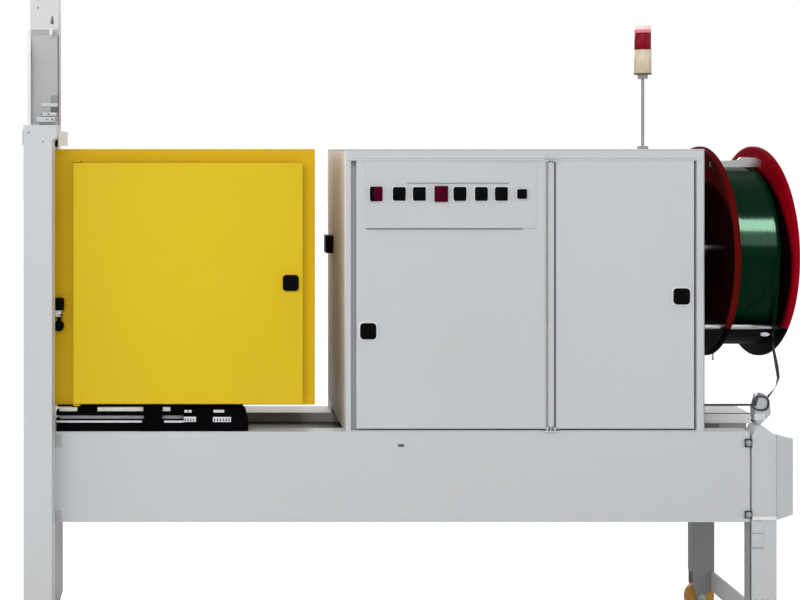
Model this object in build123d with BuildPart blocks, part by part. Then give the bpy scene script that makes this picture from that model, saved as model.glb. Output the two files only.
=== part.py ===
from build123d import *
import math
import os

# Vertical strapping machine, millimetres. +X runs from the open arch to the reel, -Y is the
# side with the doors, Z = 0 is the floor, and Y = 0 is the plane in which the strap runs.

# Length, from the far column of the arch to the corner cover beside the reel
column_w = 72
arch_opening = 1184
arch_to_beam_end = 1821
leg_gap = 5
leg_w = 63
cover_reach = 61
overall_length = (
    column_w + arch_opening + arch_to_beam_end + leg_gap + leg_w + cover_reach
)

# Depth
depth = 460
front_beam_t = 50
rear_beam_t = 100
post_offset = 14
post_w = 70
post_depth = 75
rear_post_w = 30
leg_t = 34
lower_column_w = 77
arch_depth = 70
sill_step_y = -40

# Height
beam_z = 367
beam_h = 226
rear_drop = 20
cabinet_h = 707
tray_z = 548
sill_h = 110
sill_w = 44
track_h = 70
arch_inner_top = 1830
arch_beam_h = 100
cross_head_h = 40
column_seat_t = 10
lip_top = 1600
lip_t = 8

# Steel sections
tube_wall = 4
sheet = 3
door_sheet = 2

# Cabinet and its doors
cabinet_w = 900
cabinet_setback = 113
cabinet_left_post_w = 12
cabinet_centre_post_w = 15
cabinet_right_post_w = 17
centre_post_from_left = 508
door_t = 20
door_gap = 5
free_edge_gap = 14
right_free_gap = 7
door_end_gap = 5
top_rail_h = 20
door_stop_w = 26
door_stop_gap = 5
pin_r = 3
pin_clearance = 0.1
eye_r = 5
ear_t = 3
notch_w = 6
tongue_t = 4

# Control panel on the left door
panel_w = 425
panel_h = 166
panel_t = 2
panel_from_left = 24
panel_from_top = 3
button_size = 32
button_small = 24
button_proud = 4
button_pitch = [0, 57.5, 107.5, 162.5, 209, 262.5, 312.5, 364]
first_button_from_left = 25
buttons_from_panel_top = 80
latch_size = 40
latch_proud = 7
latch_corner_r = 9

# Strapping head and its slide
head_w = 706
head_offset = 30
head_front_gap = 31
head_h = 645
head_lift = 62
head_top_gap = 9
head_door_w = 574
head_door_h = 603
head_door_from_left = 99
head_door_from_bottom = 7
head_door_t = 17
head_door_back_gap = 9
head_rim = 25
head_pivot_in = 8
head_bracket_t = 4
press_plate_w = 120
press_plate_h = 420
press_plate_t = 14
strap_slot_w = 24
slide_from_cabinet = 241
slide_bar_w = 38
slide_bar_h = 27
slide_rod_r = 6
rod_rise = 6
slide_end_w = 163
slide_end_h = 56
slide_end_slope = 7
carriage_w = 45
carriage_from_end = 53
cheek_t = 5
cheek_lift = 6
running_gap = 1
under_bar_h = 10
under_foot_from_left = 60
under_foot_from_right = 31
under_foot_w = 37

# Reel, its guards and its stays
reel_z = 1030
guard_r = 277
guard_t = 3
guard_flat_r = 205
guard_flare = 12
guard_bead_r = 7
guard_gap = 5
coil_w = 101
coil_r = 228
drum_r = 100
reel_from_wall = 90
shaft_r = 15
shaft_clearance = 0.1
stay_r = 7
stay_circle_r = 140
tie_r = 6
tie_inset = 25
tie_angle = 46
tie_reach = 229
top_bar_angle = 107
top_bar_t = 4
top_bar_h = 18
shroud_inset = 30
shroud_t = 8
shroud_reach = 5

# Strap and its guide
strap_w = 16
strap_t = 1
strap_front = 1.5
guide_from_front = 40
guide_r = 14
guide_w = 20
guide_from_leg = 37
guide_pin_r = 4
guide_cheek_t = 3
guide_cheek_gap = 5
guide_half_w = 19
strap_run_z = 654
strap_clear = 0.5
slot_margin = 8

# Signal tower
lamp_r = 22.5
lamp_red_h = 45
lamp_cream_h = 64
lamp_cap_h = 19
lamp_foot_h = 13
pole_r = 4
pole_h = 187
pole_from_right = 82

# Castors
wheel_r = 41
wheel_w = 18
axle_r = 6
fork_w = 60
fork_t = 3
fork_gap = 5
fork_top = 112
fork_waist = 78
wheel_trail = 6
tie_bar_h = 54
tie_bar_t = 8
tie_bar_z = 61

# Places worked out from the sizes above
half_depth = depth / 2
front_y = -half_depth
rear_y = half_depth
x_left = -overall_length / 2
x_open_left = x_left + column_w
x_open_right = x_open_left + arch_opening
x_column = x_open_right + column_w
x_post = x_open_right + post_offset
x_post_end = x_post + post_w
x_beam_end = x_open_right + arch_to_beam_end
x_leg = x_beam_end + leg_gap
x_leg_end = x_leg + leg_w
x_right = x_leg_end + cover_reach
beam_top = beam_z + beam_h
rear_beam_top = beam_top - rear_drop
cabinet_x1 = x_beam_end - cabinet_setback
cabinet_x0 = cabinet_x1 - cabinet_w
cabinet_z0 = beam_top
cabinet_top = cabinet_z0 + cabinet_h
head_x0 = x_open_right + head_offset
head_x1 = head_x0 + head_w
head_front = front_y + head_front_gap
head_rear = -head_front
head_z0 = beam_top + head_lift
head_top = head_z0 + head_h
cross_head_z = head_top + head_top_gap
seat_z = cross_head_z + cross_head_h
post_top = seat_z + column_seat_t
cabinet_post_t = door_t + door_stop_gap + sheet
guide_y = front_y + guide_from_front
arch_top = arch_inner_top + arch_beam_h

os.makedirs("parts", exist_ok=True)


def write(builder, name):
    builder.part.label = name
    export_step(builder.part, f"parts/{name}.step")


def middle(low, high):
    return (low + high) / 2


# Upright from z0 to z1, over a rectangle in plan
def upright(x0, x1, y0, y1, z0, z1, mode=Mode.ADD):
    with BuildSketch(Plane.XY.offset(z0)) as plan:
        with Locations((middle(x0, x1), middle(y0, y1))):
            Rectangle(x1 - x0, y1 - y0)
    extrude(plan.sketch, amount=z1 - z0, mode=mode)


# Hollow beam along X, with its section in the YZ plane
def beam_along_x(x0, x1, y0, y1, z0, z1, wall):
    with BuildSketch(Plane.YZ.offset(x0)) as section:
        with Locations((middle(y0, y1), middle(z0, z1))):
            Rectangle(y1 - y0, z1 - z0)
            Rectangle(y1 - y0 - 2 * wall, z1 - z0 - 2 * wall, mode=Mode.SUBTRACT)
    extrude(section.sketch, amount=x1 - x0)


# Hollow beam along Y, with its section in the XZ plane
def beam_along_y(x0, x1, y0, y1, z0, z1, wall):
    with BuildSketch(Plane.XZ.offset(-y0)) as section:
        with Locations((middle(x0, x1), middle(z0, z1))):
            Rectangle(x1 - x0, z1 - z0)
            Rectangle(x1 - x0 - 2 * wall, z1 - z0 - 2 * wall, mode=Mode.SUBTRACT)
    extrude(section.sketch, amount=-(y1 - y0))


# Hollow post along Z
def tube_upright(x0, x1, y0, y1, z0, z1, wall):
    with BuildSketch(Plane.XY.offset(z0)) as section:
        with Locations((middle(x0, x1), middle(y0, y1))):
            Rectangle(x1 - x0, y1 - y0)
            Rectangle(x1 - x0 - 2 * wall, y1 - y0 - 2 * wall, mode=Mode.SUBTRACT)
    extrude(section.sketch, amount=z1 - z0)


# Base frame

with BuildPart() as front_beam:
    beam_along_x(x_post, x_beam_end, front_y, front_y + front_beam_t, beam_z, beam_top, tube_wall)
write(front_beam, "front_beam")

with BuildPart() as rear_beam:
    beam_along_x(
        x_post, x_beam_end, rear_y - rear_beam_t, rear_y, beam_z, rear_beam_top, tube_wall
    )
write(rear_beam, "rear_beam")

cross_w = 60
cross_h = 120
cross_y0 = front_y + front_beam_t
cross_y1 = rear_y - rear_beam_t
cross_x = [x_open_right + lower_column_w, cabinet_x0, x_beam_end - cross_w]
fork_margin = (leg_w - fork_w) / 2
cover_t = 2
leg_front_y = front_y + cover_t
rear_leg_y = rear_y - cover_t - leg_t
with BuildPart() as cross_members:
    for x in cross_x:
        beam_along_y(x, x + cross_w, cross_y0, cross_y1, beam_z, beam_z + cross_h, tube_wall)
    upright(
        x_leg_end - fork_margin - tie_bar_t,
        x_leg_end - fork_margin,
        leg_front_y + leg_t,
        rear_leg_y,
        tie_bar_z,
        tie_bar_z + tie_bar_h,
    )
write(cross_members, "cross_members")

with BuildPart() as base_tray:
    upright(cross_x[0], x_beam_end, cross_y0, cross_y1, tray_z - sheet, tray_z)
    for x in cross_x:
        upright(x, x + sheet, cross_y0, cross_y1, beam_z + cross_h, tray_z - sheet)
write(base_tray, "base_tray")

cover_depth = 50
cover_z = beam_z + 5
cover_ridge_z = beam_top + 13
cover_eave_z = beam_top - 12
cover_right_z = beam_top - 27
ridge_x0 = x_leg + 12
ridge_x1 = ridge_x0 + 18
fork_y0 = leg_t / 2 - wheel_w / 2 - fork_gap - fork_t
fork_y1 = leg_t / 2 + wheel_w / 2 + fork_gap + fork_t
wheel_x = middle(x_leg, x_leg_end) - wheel_trail
packer_in = 8
roof_gap = 5


# Leg with the fork of its castor, a packer that joins it to the beam, and a closed foot
def leg_with_fork(y0, packer_y0, packer_y1, top_z):
    tube_upright(x_leg, x_leg_end, y0, y0 + leg_t, fork_top, top_z, tube_wall)
    upright(x_leg, x_leg_end, y0, y0 + leg_t, fork_top, fork_top + tube_wall)
    upright(x_beam_end, x_leg, packer_y0, packer_y1, beam_z, top_z - packer_in)
    for cheek_y in (y0 + fork_y0, y0 + fork_y1 - fork_t):
        with BuildSketch(Plane.XZ.offset(-cheek_y)) as cheek:
            with BuildLine():
                Polyline(
                    (x_leg + fork_margin, fork_top),
                    (x_leg_end - fork_margin, fork_top),
                    (x_leg_end - fork_margin, fork_waist),
                    (wheel_x + 2 * axle_r, wheel_r),
                    (wheel_x - 2 * axle_r, wheel_r),
                    (x_leg + fork_margin, fork_waist),
                    close=True,
                )
            make_face()
            with Locations((wheel_x, wheel_r)):
                Circle(2 * axle_r)
            with Locations((wheel_x, wheel_r)):
                Circle(axle_r, mode=Mode.SUBTRACT)
        extrude(cheek.sketch, amount=-fork_t)


leg_top = cover_eave_z - roof_gap
with BuildPart() as leg_front_right:
    leg_with_fork(leg_front_y, leg_front_y + packer_in, leg_front_y + leg_t, leg_top)
write(leg_front_right, "leg_front_right")

with BuildPart() as leg_rear_right:
    leg_with_fork(rear_leg_y, rear_leg_y, rear_leg_y + leg_t - packer_in, leg_top - rear_drop)
write(leg_rear_right, "leg_rear_right")


# Wheel of a castor with its rounded tread and its axle, standing on the floor
def castor_wheel(y0):
    wheel_mid = y0 + leg_t / 2
    with BuildSketch(Plane.XZ.offset(-(wheel_mid - wheel_w / 2))) as disc:
        with Locations((wheel_x, wheel_r)):
            Circle(wheel_r)
    body = extrude(disc.sketch, amount=-wheel_w)
    fillet(body.edges().filter_by(GeomType.CIRCLE), wheel_w / 4)
    axle_l = fork_y1 - fork_y0 + 6
    with BuildSketch(Plane.XZ.offset(-(wheel_mid - axle_l / 2))) as axle:
        with Locations((wheel_x, wheel_r)):
            Circle(axle_r - shaft_clearance)
    extrude(axle.sketch, amount=-axle_l)


with BuildPart() as wheel_front:
    castor_wheel(leg_front_y)
write(wheel_front, "wheel_front")

with BuildPart() as wheel_rear:
    castor_wheel(rear_leg_y)
write(wheel_rear, "wheel_rear")


# Folded cover over a leg, open at its back, foot and left, with a chamfered right corner
def corner_cover(side, ridge_z, eave_z, right_z):
    outline = [
        (x_leg, cover_z),
        (x_leg, eave_z),
        (ridge_x0, ridge_z),
        (ridge_x1, ridge_z),
        (x_leg_end, eave_z),
        (x_right, right_z),
        (x_right, cover_z),
    ]
    with BuildSketch(Plane.XZ.offset(-side * half_depth)) as face:
        with BuildLine():
            Polyline(*outline, close=True)
        make_face()
    extrude(face.sketch, amount=side * cover_depth)
    block = extrude(face.sketch, amount=side * cover_depth, mode=Mode.PRIVATE)
    with BuildSketch(Plane.XZ.offset(-side * (half_depth - cover_t))) as inner:
        with BuildLine():
            Polyline(*outline, close=True)
        make_face()
        offset(amount=-cover_t, kind=Kind.INTERSECTION)
        with Locations((middle(x_leg, x_right), cover_z)):
            Rectangle(x_right - x_leg - 2 * cover_t, 4 * cover_t)
        with Locations((x_leg, middle(cover_z, eave_z) - roof_gap)):
            Rectangle(4 * cover_t, eave_z - cover_z)
    extrude(inner.sketch, amount=side * cover_depth, mode=Mode.SUBTRACT)
    with BuildSketch(Plane.XY.offset(cover_z - 1)) as chamfer_cut:
        with BuildLine():
            Polyline(
                (x_leg_end, side * half_depth),
                (x_right, side * (half_depth - cover_depth)),
                (x_right + 1, side * (half_depth + 1)),
                (x_leg_end, side * (half_depth + 1)),
                close=True,
            )
        make_face()
    extrude(chamfer_cut.sketch, amount=ridge_z - cover_z + 2, mode=Mode.SUBTRACT)
    with BuildSketch(Plane.XY.offset(cover_z)) as chamfer_wall:
        with BuildLine():
            Polyline(
                (x_leg_end, side * half_depth),
                (x_right, side * (half_depth - cover_depth)),
                (x_right - 2 * cover_t, side * (half_depth - cover_depth)),
                (x_leg_end, side * (half_depth - cover_t)),
                close=True,
            )
        make_face()
    wall = extrude(chamfer_wall.sketch, amount=ridge_z - cover_z, mode=Mode.PRIVATE)
    add(wall & block)


with BuildPart() as corner_covers:
    corner_cover(-1, cover_ridge_z, cover_eave_z, cover_right_z)
    corner_cover(1, cover_ridge_z - rear_drop, cover_eave_z - rear_drop, cover_right_z - rear_drop)
write(corner_covers, "corner_covers")

# Arch

corbel_w = 11
corbel_z = post_top - 40
with BuildPart() as arch_front_post:
    post_y = front_y - post_depth
    tube_upright(x_post, x_post_end, post_y, front_y, sill_h, post_top, tube_wall)
    upright(x_post, x_post_end, post_y, front_y, post_top - tube_wall, post_top)
    with BuildSketch(Plane.XZ.offset(-post_y)) as corbel:
        with BuildLine():
            Polyline(
                (x_post_end, corbel_z),
                (x_post_end + corbel_w, corbel_z + corbel_w),
                (x_post_end + corbel_w, post_top),
                (x_post_end, post_top),
                close=True,
            )
        make_face()
    extrude(amount=-post_depth)
write(arch_front_post, "arch_front_post")

with BuildPart() as arch_rear_post:
    rear_post_end = x_post + rear_post_w
    post_y = rear_y + post_depth
    tube_upright(x_post, rear_post_end, rear_y, post_y, sill_h, post_top, tube_wall)
    upright(x_post, rear_post_end, rear_y, post_y, post_top - tube_wall, post_top)
write(arch_rear_post, "arch_rear_post")

sill_y0 = front_y - post_depth
sill_y1 = rear_y + post_depth
with BuildPart() as arch_sills:
    beam_along_y(x_left, x_left + column_w, sill_y0, sill_y1, 0, sill_h, tube_wall)
    beam_along_y(x_open_right, x_open_right + sill_w, sill_y0, sill_y1, 0, sill_h, tube_wall)
    beam_along_y(
        x_open_right + sill_w, x_post_end, sill_y0, sill_step_y, 0, sill_h, tube_wall
    )
write(arch_sills, "arch_sills")

seat_reach = 10
with BuildPart() as arch_cross_head:
    beam_along_y(x_open_right, x_column, front_y, rear_y, cross_head_z, seat_z, tube_wall)
    upright(
        x_open_right,
        x_column,
        -arch_depth / 2 - seat_reach,
        arch_depth / 2 + seat_reach,
        seat_z,
        post_top,
    )
write(arch_cross_head, "arch_cross_head")


# Column of the arch, with the strap's slot in the face towards the opening
def slotted_column(x0, width, z0, z1, slot_side):
    tube_upright(x0, x0 + width, -arch_depth / 2, arch_depth / 2, z0, z1, tube_wall)
    slot_x = x0 if slot_side < 0 else x0 + width
    with BuildSketch(Plane.XY.offset(z0)) as slot:
        with Locations((slot_x, 0)):
            Rectangle(2 * tube_wall + 2, strap_slot_w)
    extrude(slot.sketch, amount=z1 - z0, mode=Mode.SUBTRACT)


lower_column_top = beam_top - 15
with BuildPart() as arch_lower_column:
    slotted_column(x_open_right, lower_column_w, sill_h, lower_column_top, -1)
write(arch_lower_column, "arch_lower_column")

with BuildPart() as arch_upper_column:
    slotted_column(x_open_right, column_w, post_top, arch_inner_top, -1)
write(arch_upper_column, "arch_upper_column")

with BuildPart() as arch_far_column:
    slotted_column(x_left, column_w, sill_h, arch_inner_top, 1)
write(arch_far_column, "arch_far_column")

with BuildPart() as arch_top_beam:
    beam_along_x(
        x_left, x_column, -arch_depth / 2, arch_depth / 2, arch_inner_top, arch_top, tube_wall
    )
    with BuildSketch(Plane.XY.offset(arch_inner_top)) as slot:
        with Locations((middle(x_open_left, x_open_right), 0)):
            Rectangle(arch_opening, strap_slot_w)
    extrude(amount=2 * tube_wall, both=True, mode=Mode.SUBTRACT)
write(arch_top_beam, "arch_top_beam")

track_w = 160
with BuildPart() as bottom_track:
    beam_along_x(x_open_left, x_open_right, -track_w / 2, track_w / 2, 0, track_h, tube_wall)
    with BuildSketch(Plane.XY.offset(track_h)) as slot:
        with Locations((middle(x_open_left, x_open_right), 0)):
            Rectangle(arch_opening, strap_slot_w)
    extrude(amount=2 * tube_wall, both=True, mode=Mode.SUBTRACT)
write(bottom_track, "bottom_track")

corner_block = 110
corner_r = 100
corner_w = 60
groove_d = 8
with BuildPart() as corner_guides:
    for corner_x, turn_x in ((x_open_left, 1), (x_open_right, -1)):
        arc_x = corner_x + turn_x * corner_block
        arc_z = arch_inner_top - corner_block
        with BuildSketch(Plane.XZ.offset(corner_w / 2)) as block:
            with Locations((middle(corner_x, arc_x), middle(arc_z, arch_inner_top))):
                Rectangle(corner_block, corner_block)
            with Locations((arc_x, arc_z)):
                Circle(corner_r, mode=Mode.SUBTRACT)
        extrude(amount=-corner_w)
        with BuildSketch(Plane.XZ.offset(strap_slot_w / 2)) as groove:
            with Locations((arc_x, arc_z)):
                Circle(corner_r + groove_d)
        extrude(amount=-strap_slot_w, mode=Mode.SUBTRACT)
write(corner_guides, "corner_guides")

guard_plate_t = 14
guard_y = -arch_depth / 2 - guard_plate_t
with BuildPart() as column_guard:
    upright(x_open_right, x_column, guard_y, -arch_depth / 2, lip_top, arch_top)
    upright(x_open_right - lip_t, x_open_right, guard_y, -strap_slot_w / 2 - 3, post_top, lip_top)
write(column_guard, "column_guard")

# Cabinet

wall_z0 = cabinet_z0 + sheet
wall_z1 = cabinet_top - tongue_t
post_x = cabinet_x0 + centre_post_from_left
left_pivot_x = post_x - door_gap / 2
right_pivot_x = post_x + cabinet_centre_post_w + door_gap / 2
pivot_y = front_y


# Tongue in front of the cabinet with the eyes for the pins of both doors
def hinge_tongue(z0, z1, eye_z1):
    upright(
        left_pivot_x - eye_r - 2, right_pivot_x + eye_r + 2, front_y - eye_r - 2, front_y, z0, z1
    )
    with BuildSketch(Plane.XY.offset(z0)) as eyes:
        with Locations((left_pivot_x, pivot_y), (right_pivot_x, pivot_y)):
            Circle(pin_r + pin_clearance)
    extrude(eyes.sketch, amount=eye_z1 - z0, mode=Mode.SUBTRACT)


with BuildPart() as cabinet_top_sheet:
    upright(cabinet_x0, cabinet_x1, front_y, rear_y, wall_z1, cabinet_top)
write(cabinet_top_sheet, "cabinet_top")

with BuildPart() as cabinet_floor:
    upright(cabinet_x0, cabinet_x1, front_y, rear_y, cabinet_z0, wall_z0)
    hinge_tongue(cabinet_z0, wall_z0, wall_z0)
    upright(cabinet_x0, cabinet_x1, rear_y - rear_beam_t, rear_y, rear_beam_top, cabinet_z0)
write(cabinet_floor, "cabinet_floor")

with BuildPart() as cabinet_left_wall:
    upright(cabinet_x0, cabinet_x0 + sheet, front_y, rear_y - sheet, wall_z0, wall_z1)
write(cabinet_left_wall, "cabinet_left_wall")

slot_y0 = guide_y - strap_w / 2 - slot_margin
slot_y1 = guide_y + strap_w / 2 + slot_margin
with BuildPart() as cabinet_right_wall:
    upright(cabinet_x1 - sheet, cabinet_x1, front_y, rear_y - sheet, wall_z0, wall_z1)
    with BuildSketch(Plane.YZ.offset(cabinet_x1 - sheet)) as slot:
        with Locations((middle(slot_y0, slot_y1), strap_run_z)):
            Rectangle(slot_y1 - slot_y0, 2 * slot_margin)
    extrude(amount=sheet, mode=Mode.SUBTRACT)
write(cabinet_right_wall, "cabinet_right_wall")

with BuildPart() as cabinet_back:
    upright(cabinet_x0, cabinet_x1, rear_y - sheet, rear_y, wall_z0, wall_z1)
write(cabinet_back, "cabinet_back")

left_post_x = cabinet_x0 + sheet
left_post_end = left_post_x + cabinet_left_post_w
right_post_end = cabinet_x1 - sheet
right_post_x = right_post_end - cabinet_right_post_w
rail_z = wall_z1 - top_rail_h
stop_y = front_y + door_t + door_stop_gap
notch_h = door_end_gap + ear_t + 2
notch_d = 2 * eye_r
with BuildPart() as cabinet_posts:
    post_back = front_y + cabinet_post_t
    upright(left_post_x, left_post_end, front_y, post_back, wall_z0, wall_z1)
    upright(right_post_x, right_post_end, front_y, post_back, wall_z0, wall_z1)
    upright(post_x, post_x + cabinet_centre_post_w, front_y, post_back, wall_z0, wall_z1)
    upright(left_post_x, right_post_end, front_y, post_back, rail_z, wall_z1)
    for stop_x in (left_post_end, post_x + cabinet_centre_post_w):
        upright(stop_x, stop_x + door_stop_w, stop_y, post_back, wall_z0, rail_z)
    for stop_x in (post_x, right_post_x):
        upright(stop_x - door_stop_w, stop_x, stop_y, post_back, wall_z0, rail_z)
    upright(left_post_x, right_post_end, stop_y, post_back, rail_z - door_stop_w, rail_z)
    for notch_x in (post_x + notch_w / 2, post_x + cabinet_centre_post_w - notch_w / 2):
        for notch_z in (wall_z0, rail_z - notch_h):
            with BuildSketch(Plane.XY.offset(notch_z)) as notch:
                with Locations((notch_x, front_y + notch_d / 2)):
                    Rectangle(notch_w, notch_d)
            extrude(amount=notch_h, mode=Mode.SUBTRACT)
    hinge_tongue(rail_z, rail_z + tongue_t, rail_z + tongue_t + 1)
write(cabinet_posts, "cabinet_posts")

socket_w = 20
socket_h = 48
socket_z = 1041
with BuildPart() as side_socket:
    upright(
        cabinet_x0 - socket_w,
        cabinet_x0,
        front_y + 300,
        front_y + 360,
        socket_z - socket_h / 2,
        socket_z + socket_h / 2,
    )
write(side_socket, "side_socket")

door_z0 = wall_z0 + door_end_gap
door_z1 = rail_z - door_end_gap
left_door_x0 = left_post_end + free_edge_gap
left_door_x1 = post_x - door_gap
right_door_x0 = post_x + cabinet_centre_post_w + door_gap
right_door_x1 = right_post_x - right_free_gap


# Folded door, open towards the cabinet, with its two pivot pins on ears in line with its edge
def cabinet_door(x0, x1, pivot_x, hinge_side):
    upright(x0, x1, front_y, front_y + door_t, door_z0, door_z1)
    with BuildSketch(Plane.XZ.offset(-(front_y + door_sheet))) as hollow:
        with Locations((middle(x0, x1), middle(door_z0, door_z1))):
            Rectangle(x1 - x0 - 2 * door_sheet, door_z1 - door_z0 - 2 * door_sheet)
    extrude(hollow.sketch, amount=-(door_t - door_sheet), mode=Mode.SUBTRACT)
    edge_x = x1 if hinge_side > 0 else x0
    for ear_z, pin_z in ((door_z1 - ear_t, door_z1), (door_z0, door_z0)):
        with BuildSketch(Plane.XY.offset(ear_z)) as ear:
            with Locations((pivot_x, pivot_y)):
                Circle(eye_r)
            with BuildLine():
                Polyline(
                    (pivot_x, pivot_y - eye_r),
                    (pivot_x, pivot_y + eye_r),
                    (edge_x - hinge_side * 14, front_y + door_t / 2),
                    (edge_x - hinge_side * 14, front_y),
                    close=True,
                )
            make_face()
        extrude(ear.sketch, amount=ear_t)
    with BuildSketch(Plane.XY.offset(door_z1)) as top_pin:
        with Locations((pivot_x, pivot_y)):
            Circle(pin_r)
    extrude(top_pin.sketch, amount=door_end_gap + tongue_t)
    with BuildSketch(Plane.XY.offset(cabinet_z0)) as bottom_pin:
        with Locations((pivot_x, pivot_y)):
            Circle(pin_r)
    extrude(bottom_pin.sketch, amount=sheet + door_end_gap)


with BuildPart() as cabinet_door_left:
    cabinet_door(left_door_x0, left_door_x1, left_pivot_x, 1)
write(cabinet_door_left, "cabinet_door_left")

with BuildPart() as cabinet_door_right:
    cabinet_door(right_door_x0, right_door_x1, right_pivot_x, -1)
write(cabinet_door_right, "cabinet_door_right")

panel_x0 = left_door_x0 + panel_from_left
panel_z1 = door_z1 - panel_from_top
panel_z0 = panel_z1 - panel_h
with BuildPart() as control_panel:
    upright(panel_x0, panel_x0 + panel_w, front_y - panel_t, front_y, panel_z0, panel_z1)
write(control_panel, "control_panel")

button_z = panel_z1 - buttons_from_panel_top


# Square button or lamp standing on the control panel
def panel_button(index):
    size = button_small if index == len(button_pitch) - 1 else button_size
    x = panel_x0 + first_button_from_left + button_pitch[index]
    with BuildSketch(Plane.XZ.offset(-(front_y - panel_t))) as face:
        with Locations((x, button_z)):
            RectangleRounded(size, size, 4)
    extrude(face.sketch, amount=button_proud)


with BuildPart() as panel_buttons:
    for index in range(len(button_pitch)):
        panel_button(index)
write(panel_buttons, "panel_buttons")


# Rounded square lock plate on the face of a door
def latch(x, z, face_y):
    with BuildSketch(Plane.XZ.offset(-face_y)) as plate:
        with Locations((x, z)):
            RectangleRounded(latch_size, latch_size, latch_corner_r)
    extrude(plate.sketch, amount=latch_proud)


left_latch_x = left_door_x0 + 29
left_latch_z = 845
with BuildPart() as latch_left:
    latch(left_latch_x, left_latch_z, front_y)
write(latch_left, "latch_left")

right_latch_x = right_door_x1 - 32
right_latch_z = 932
with BuildPart() as latch_right:
    latch(right_latch_x, right_latch_z, front_y)
write(latch_right, "latch_right")

# Strapping head

head_wall_z0 = head_z0 + sheet
head_wall_z1 = head_top - sheet
head_wall_y0 = head_front + sheet
head_wall_y1 = head_rear - sheet

with BuildPart() as head_top_and_floor:
    upright(head_x0, head_x1, head_wall_y0, head_wall_y1, head_wall_z1, head_top)
    upright(head_x0, head_x1, head_wall_y0, head_wall_y1, head_z0, head_wall_z0)
write(head_top_and_floor, "head_top_and_floor")

slot_z0 = head_z0 + 60
slot_z1 = head_top - 60
with BuildPart() as head_side_walls:
    upright(head_x0, head_x0 + sheet, head_wall_y0, head_wall_y1, head_wall_z0, head_wall_z1)
    upright(head_x1 - sheet, head_x1, head_wall_y0, head_wall_y1, head_wall_z0, head_wall_z1)
    with BuildSketch(Plane.YZ.offset(head_x0)) as slot:
        with Locations((0, middle(slot_z0, slot_z1))):
            Rectangle(strap_slot_w, slot_z1 - slot_z0)
    extrude(amount=sheet, mode=Mode.SUBTRACT)
write(head_side_walls, "head_side_walls")

with BuildPart() as head_back:
    upright(head_x0, head_x1, head_wall_y1, head_rear, head_z0, head_top)
write(head_back, "head_back")

head_door_x0 = head_x0 + head_door_from_left
head_door_x1 = head_door_x0 + head_door_w
head_door_z0 = head_z0 + head_door_from_bottom
head_door_z1 = head_door_z0 + head_door_h
head_door_back = head_front - head_door_back_gap
head_door_face = head_door_back - head_door_t
head_pivot_x = head_door_x0 + head_pivot_in
head_pivot_y = head_door_face + head_pivot_in
with BuildPart() as head_front_frame:
    upright(head_x0, head_x1, head_front, head_wall_y0, head_z0, head_top)
    with BuildSketch(Plane.XZ.offset(-head_front)) as opening:
        with Locations((middle(head_door_x0, head_door_x1), middle(head_door_z0, head_door_z1))):
            Rectangle(head_door_w - 2 * head_rim, head_door_h - 2 * head_rim)
    extrude(amount=-sheet, mode=Mode.SUBTRACT)
    for bracket_z in (head_door_z1 + 2, head_door_z0 - 2 - head_bracket_t):
        with BuildSketch(Plane.XY.offset(bracket_z)) as bracket:
            with Locations((head_pivot_x, middle(head_pivot_y, head_front))):
                Rectangle(18, head_front - head_pivot_y)
            with Locations((head_pivot_x, head_pivot_y)):
                Circle(9)
            with Locations((head_pivot_x, head_pivot_y)):
                Circle(pin_r + pin_clearance, mode=Mode.SUBTRACT)
        extrude(amount=head_bracket_t)
write(head_front_frame, "head_front_frame")

with BuildPart() as head_door:
    upright(head_door_x0, head_door_x1, head_door_face, head_door_back, head_door_z0, head_door_z1)
    with BuildSketch(Plane.XZ.offset(-(head_door_face + door_sheet))) as hollow:
        with Locations((middle(head_door_x0, head_door_x1), middle(head_door_z0, head_door_z1))):
            Rectangle(head_door_w - 2 * door_sheet, head_door_h - 2 * door_sheet)
    extrude(amount=-(head_door_t - door_sheet), mode=Mode.SUBTRACT)
    for pin_z in (head_door_z1 - door_sheet, head_door_z0 - 2 - head_bracket_t):
        with BuildSketch(Plane.XY.offset(pin_z)) as pin:
            with Locations((head_pivot_x, head_pivot_y)):
                Circle(pin_r)
        extrude(amount=door_sheet + 2 + head_bracket_t)
write(head_door, "head_door")

head_latch_z = 965
head_latch_x = head_door_x1 - 30
with BuildPart() as head_latch:
    latch(head_latch_x, head_latch_z, head_door_face)
write(head_latch, "head_latch")

switch_x = head_x0 + 62
with BuildPart() as head_switches:
    with BuildSketch(Plane.XZ.offset(-head_front)) as bodies:
        with Locations((switch_x, 912)):
            RectangleRounded(20, 27, 4)
        with Locations((switch_x, 854)):
            Circle(11)
        with Locations((switch_x, 881)):
            Rectangle(8, 36)
    extrude(amount=18)
write(head_switches, "head_switches")

with BuildPart() as press_plate:
    upright(
        head_x0 - press_plate_t,
        head_x0,
        -press_plate_w / 2,
        press_plate_w / 2,
        middle(head_z0, head_top) - press_plate_h / 2,
        middle(head_z0, head_top) + press_plate_h / 2,
    )
    with BuildSketch(Plane.YZ.offset(head_x0 - press_plate_t)) as slot:
        with Locations((0, middle(head_z0, head_top))):
            Rectangle(strap_slot_w, press_plate_h - 60)
    extrude(amount=press_plate_t, mode=Mode.SUBTRACT)
write(press_plate, "press_plate")

# Slide under the head: a rail with its end block, a rod and the carriage on it

slide_x0 = x_post_end + 2
slide_x1 = cabinet_x0 - slide_from_cabinet
rod_x1 = slide_x1 - slide_end_w
rod_z = beam_top + slide_bar_h + rod_rise
slide_y = half_depth - front_beam_t / 2
rail_y0 = slide_y - slide_bar_w / 2
rail_y1 = slide_y + slide_bar_w / 2
carriage_x1 = rod_x1 - carriage_from_end
carriage_x0 = carriage_x1 - carriage_w
rod_holder_t = 8


# One side's lengths in Y, mirrored for the front
def across(side, low, high):
    return sorted((side * low, side * high))


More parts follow.
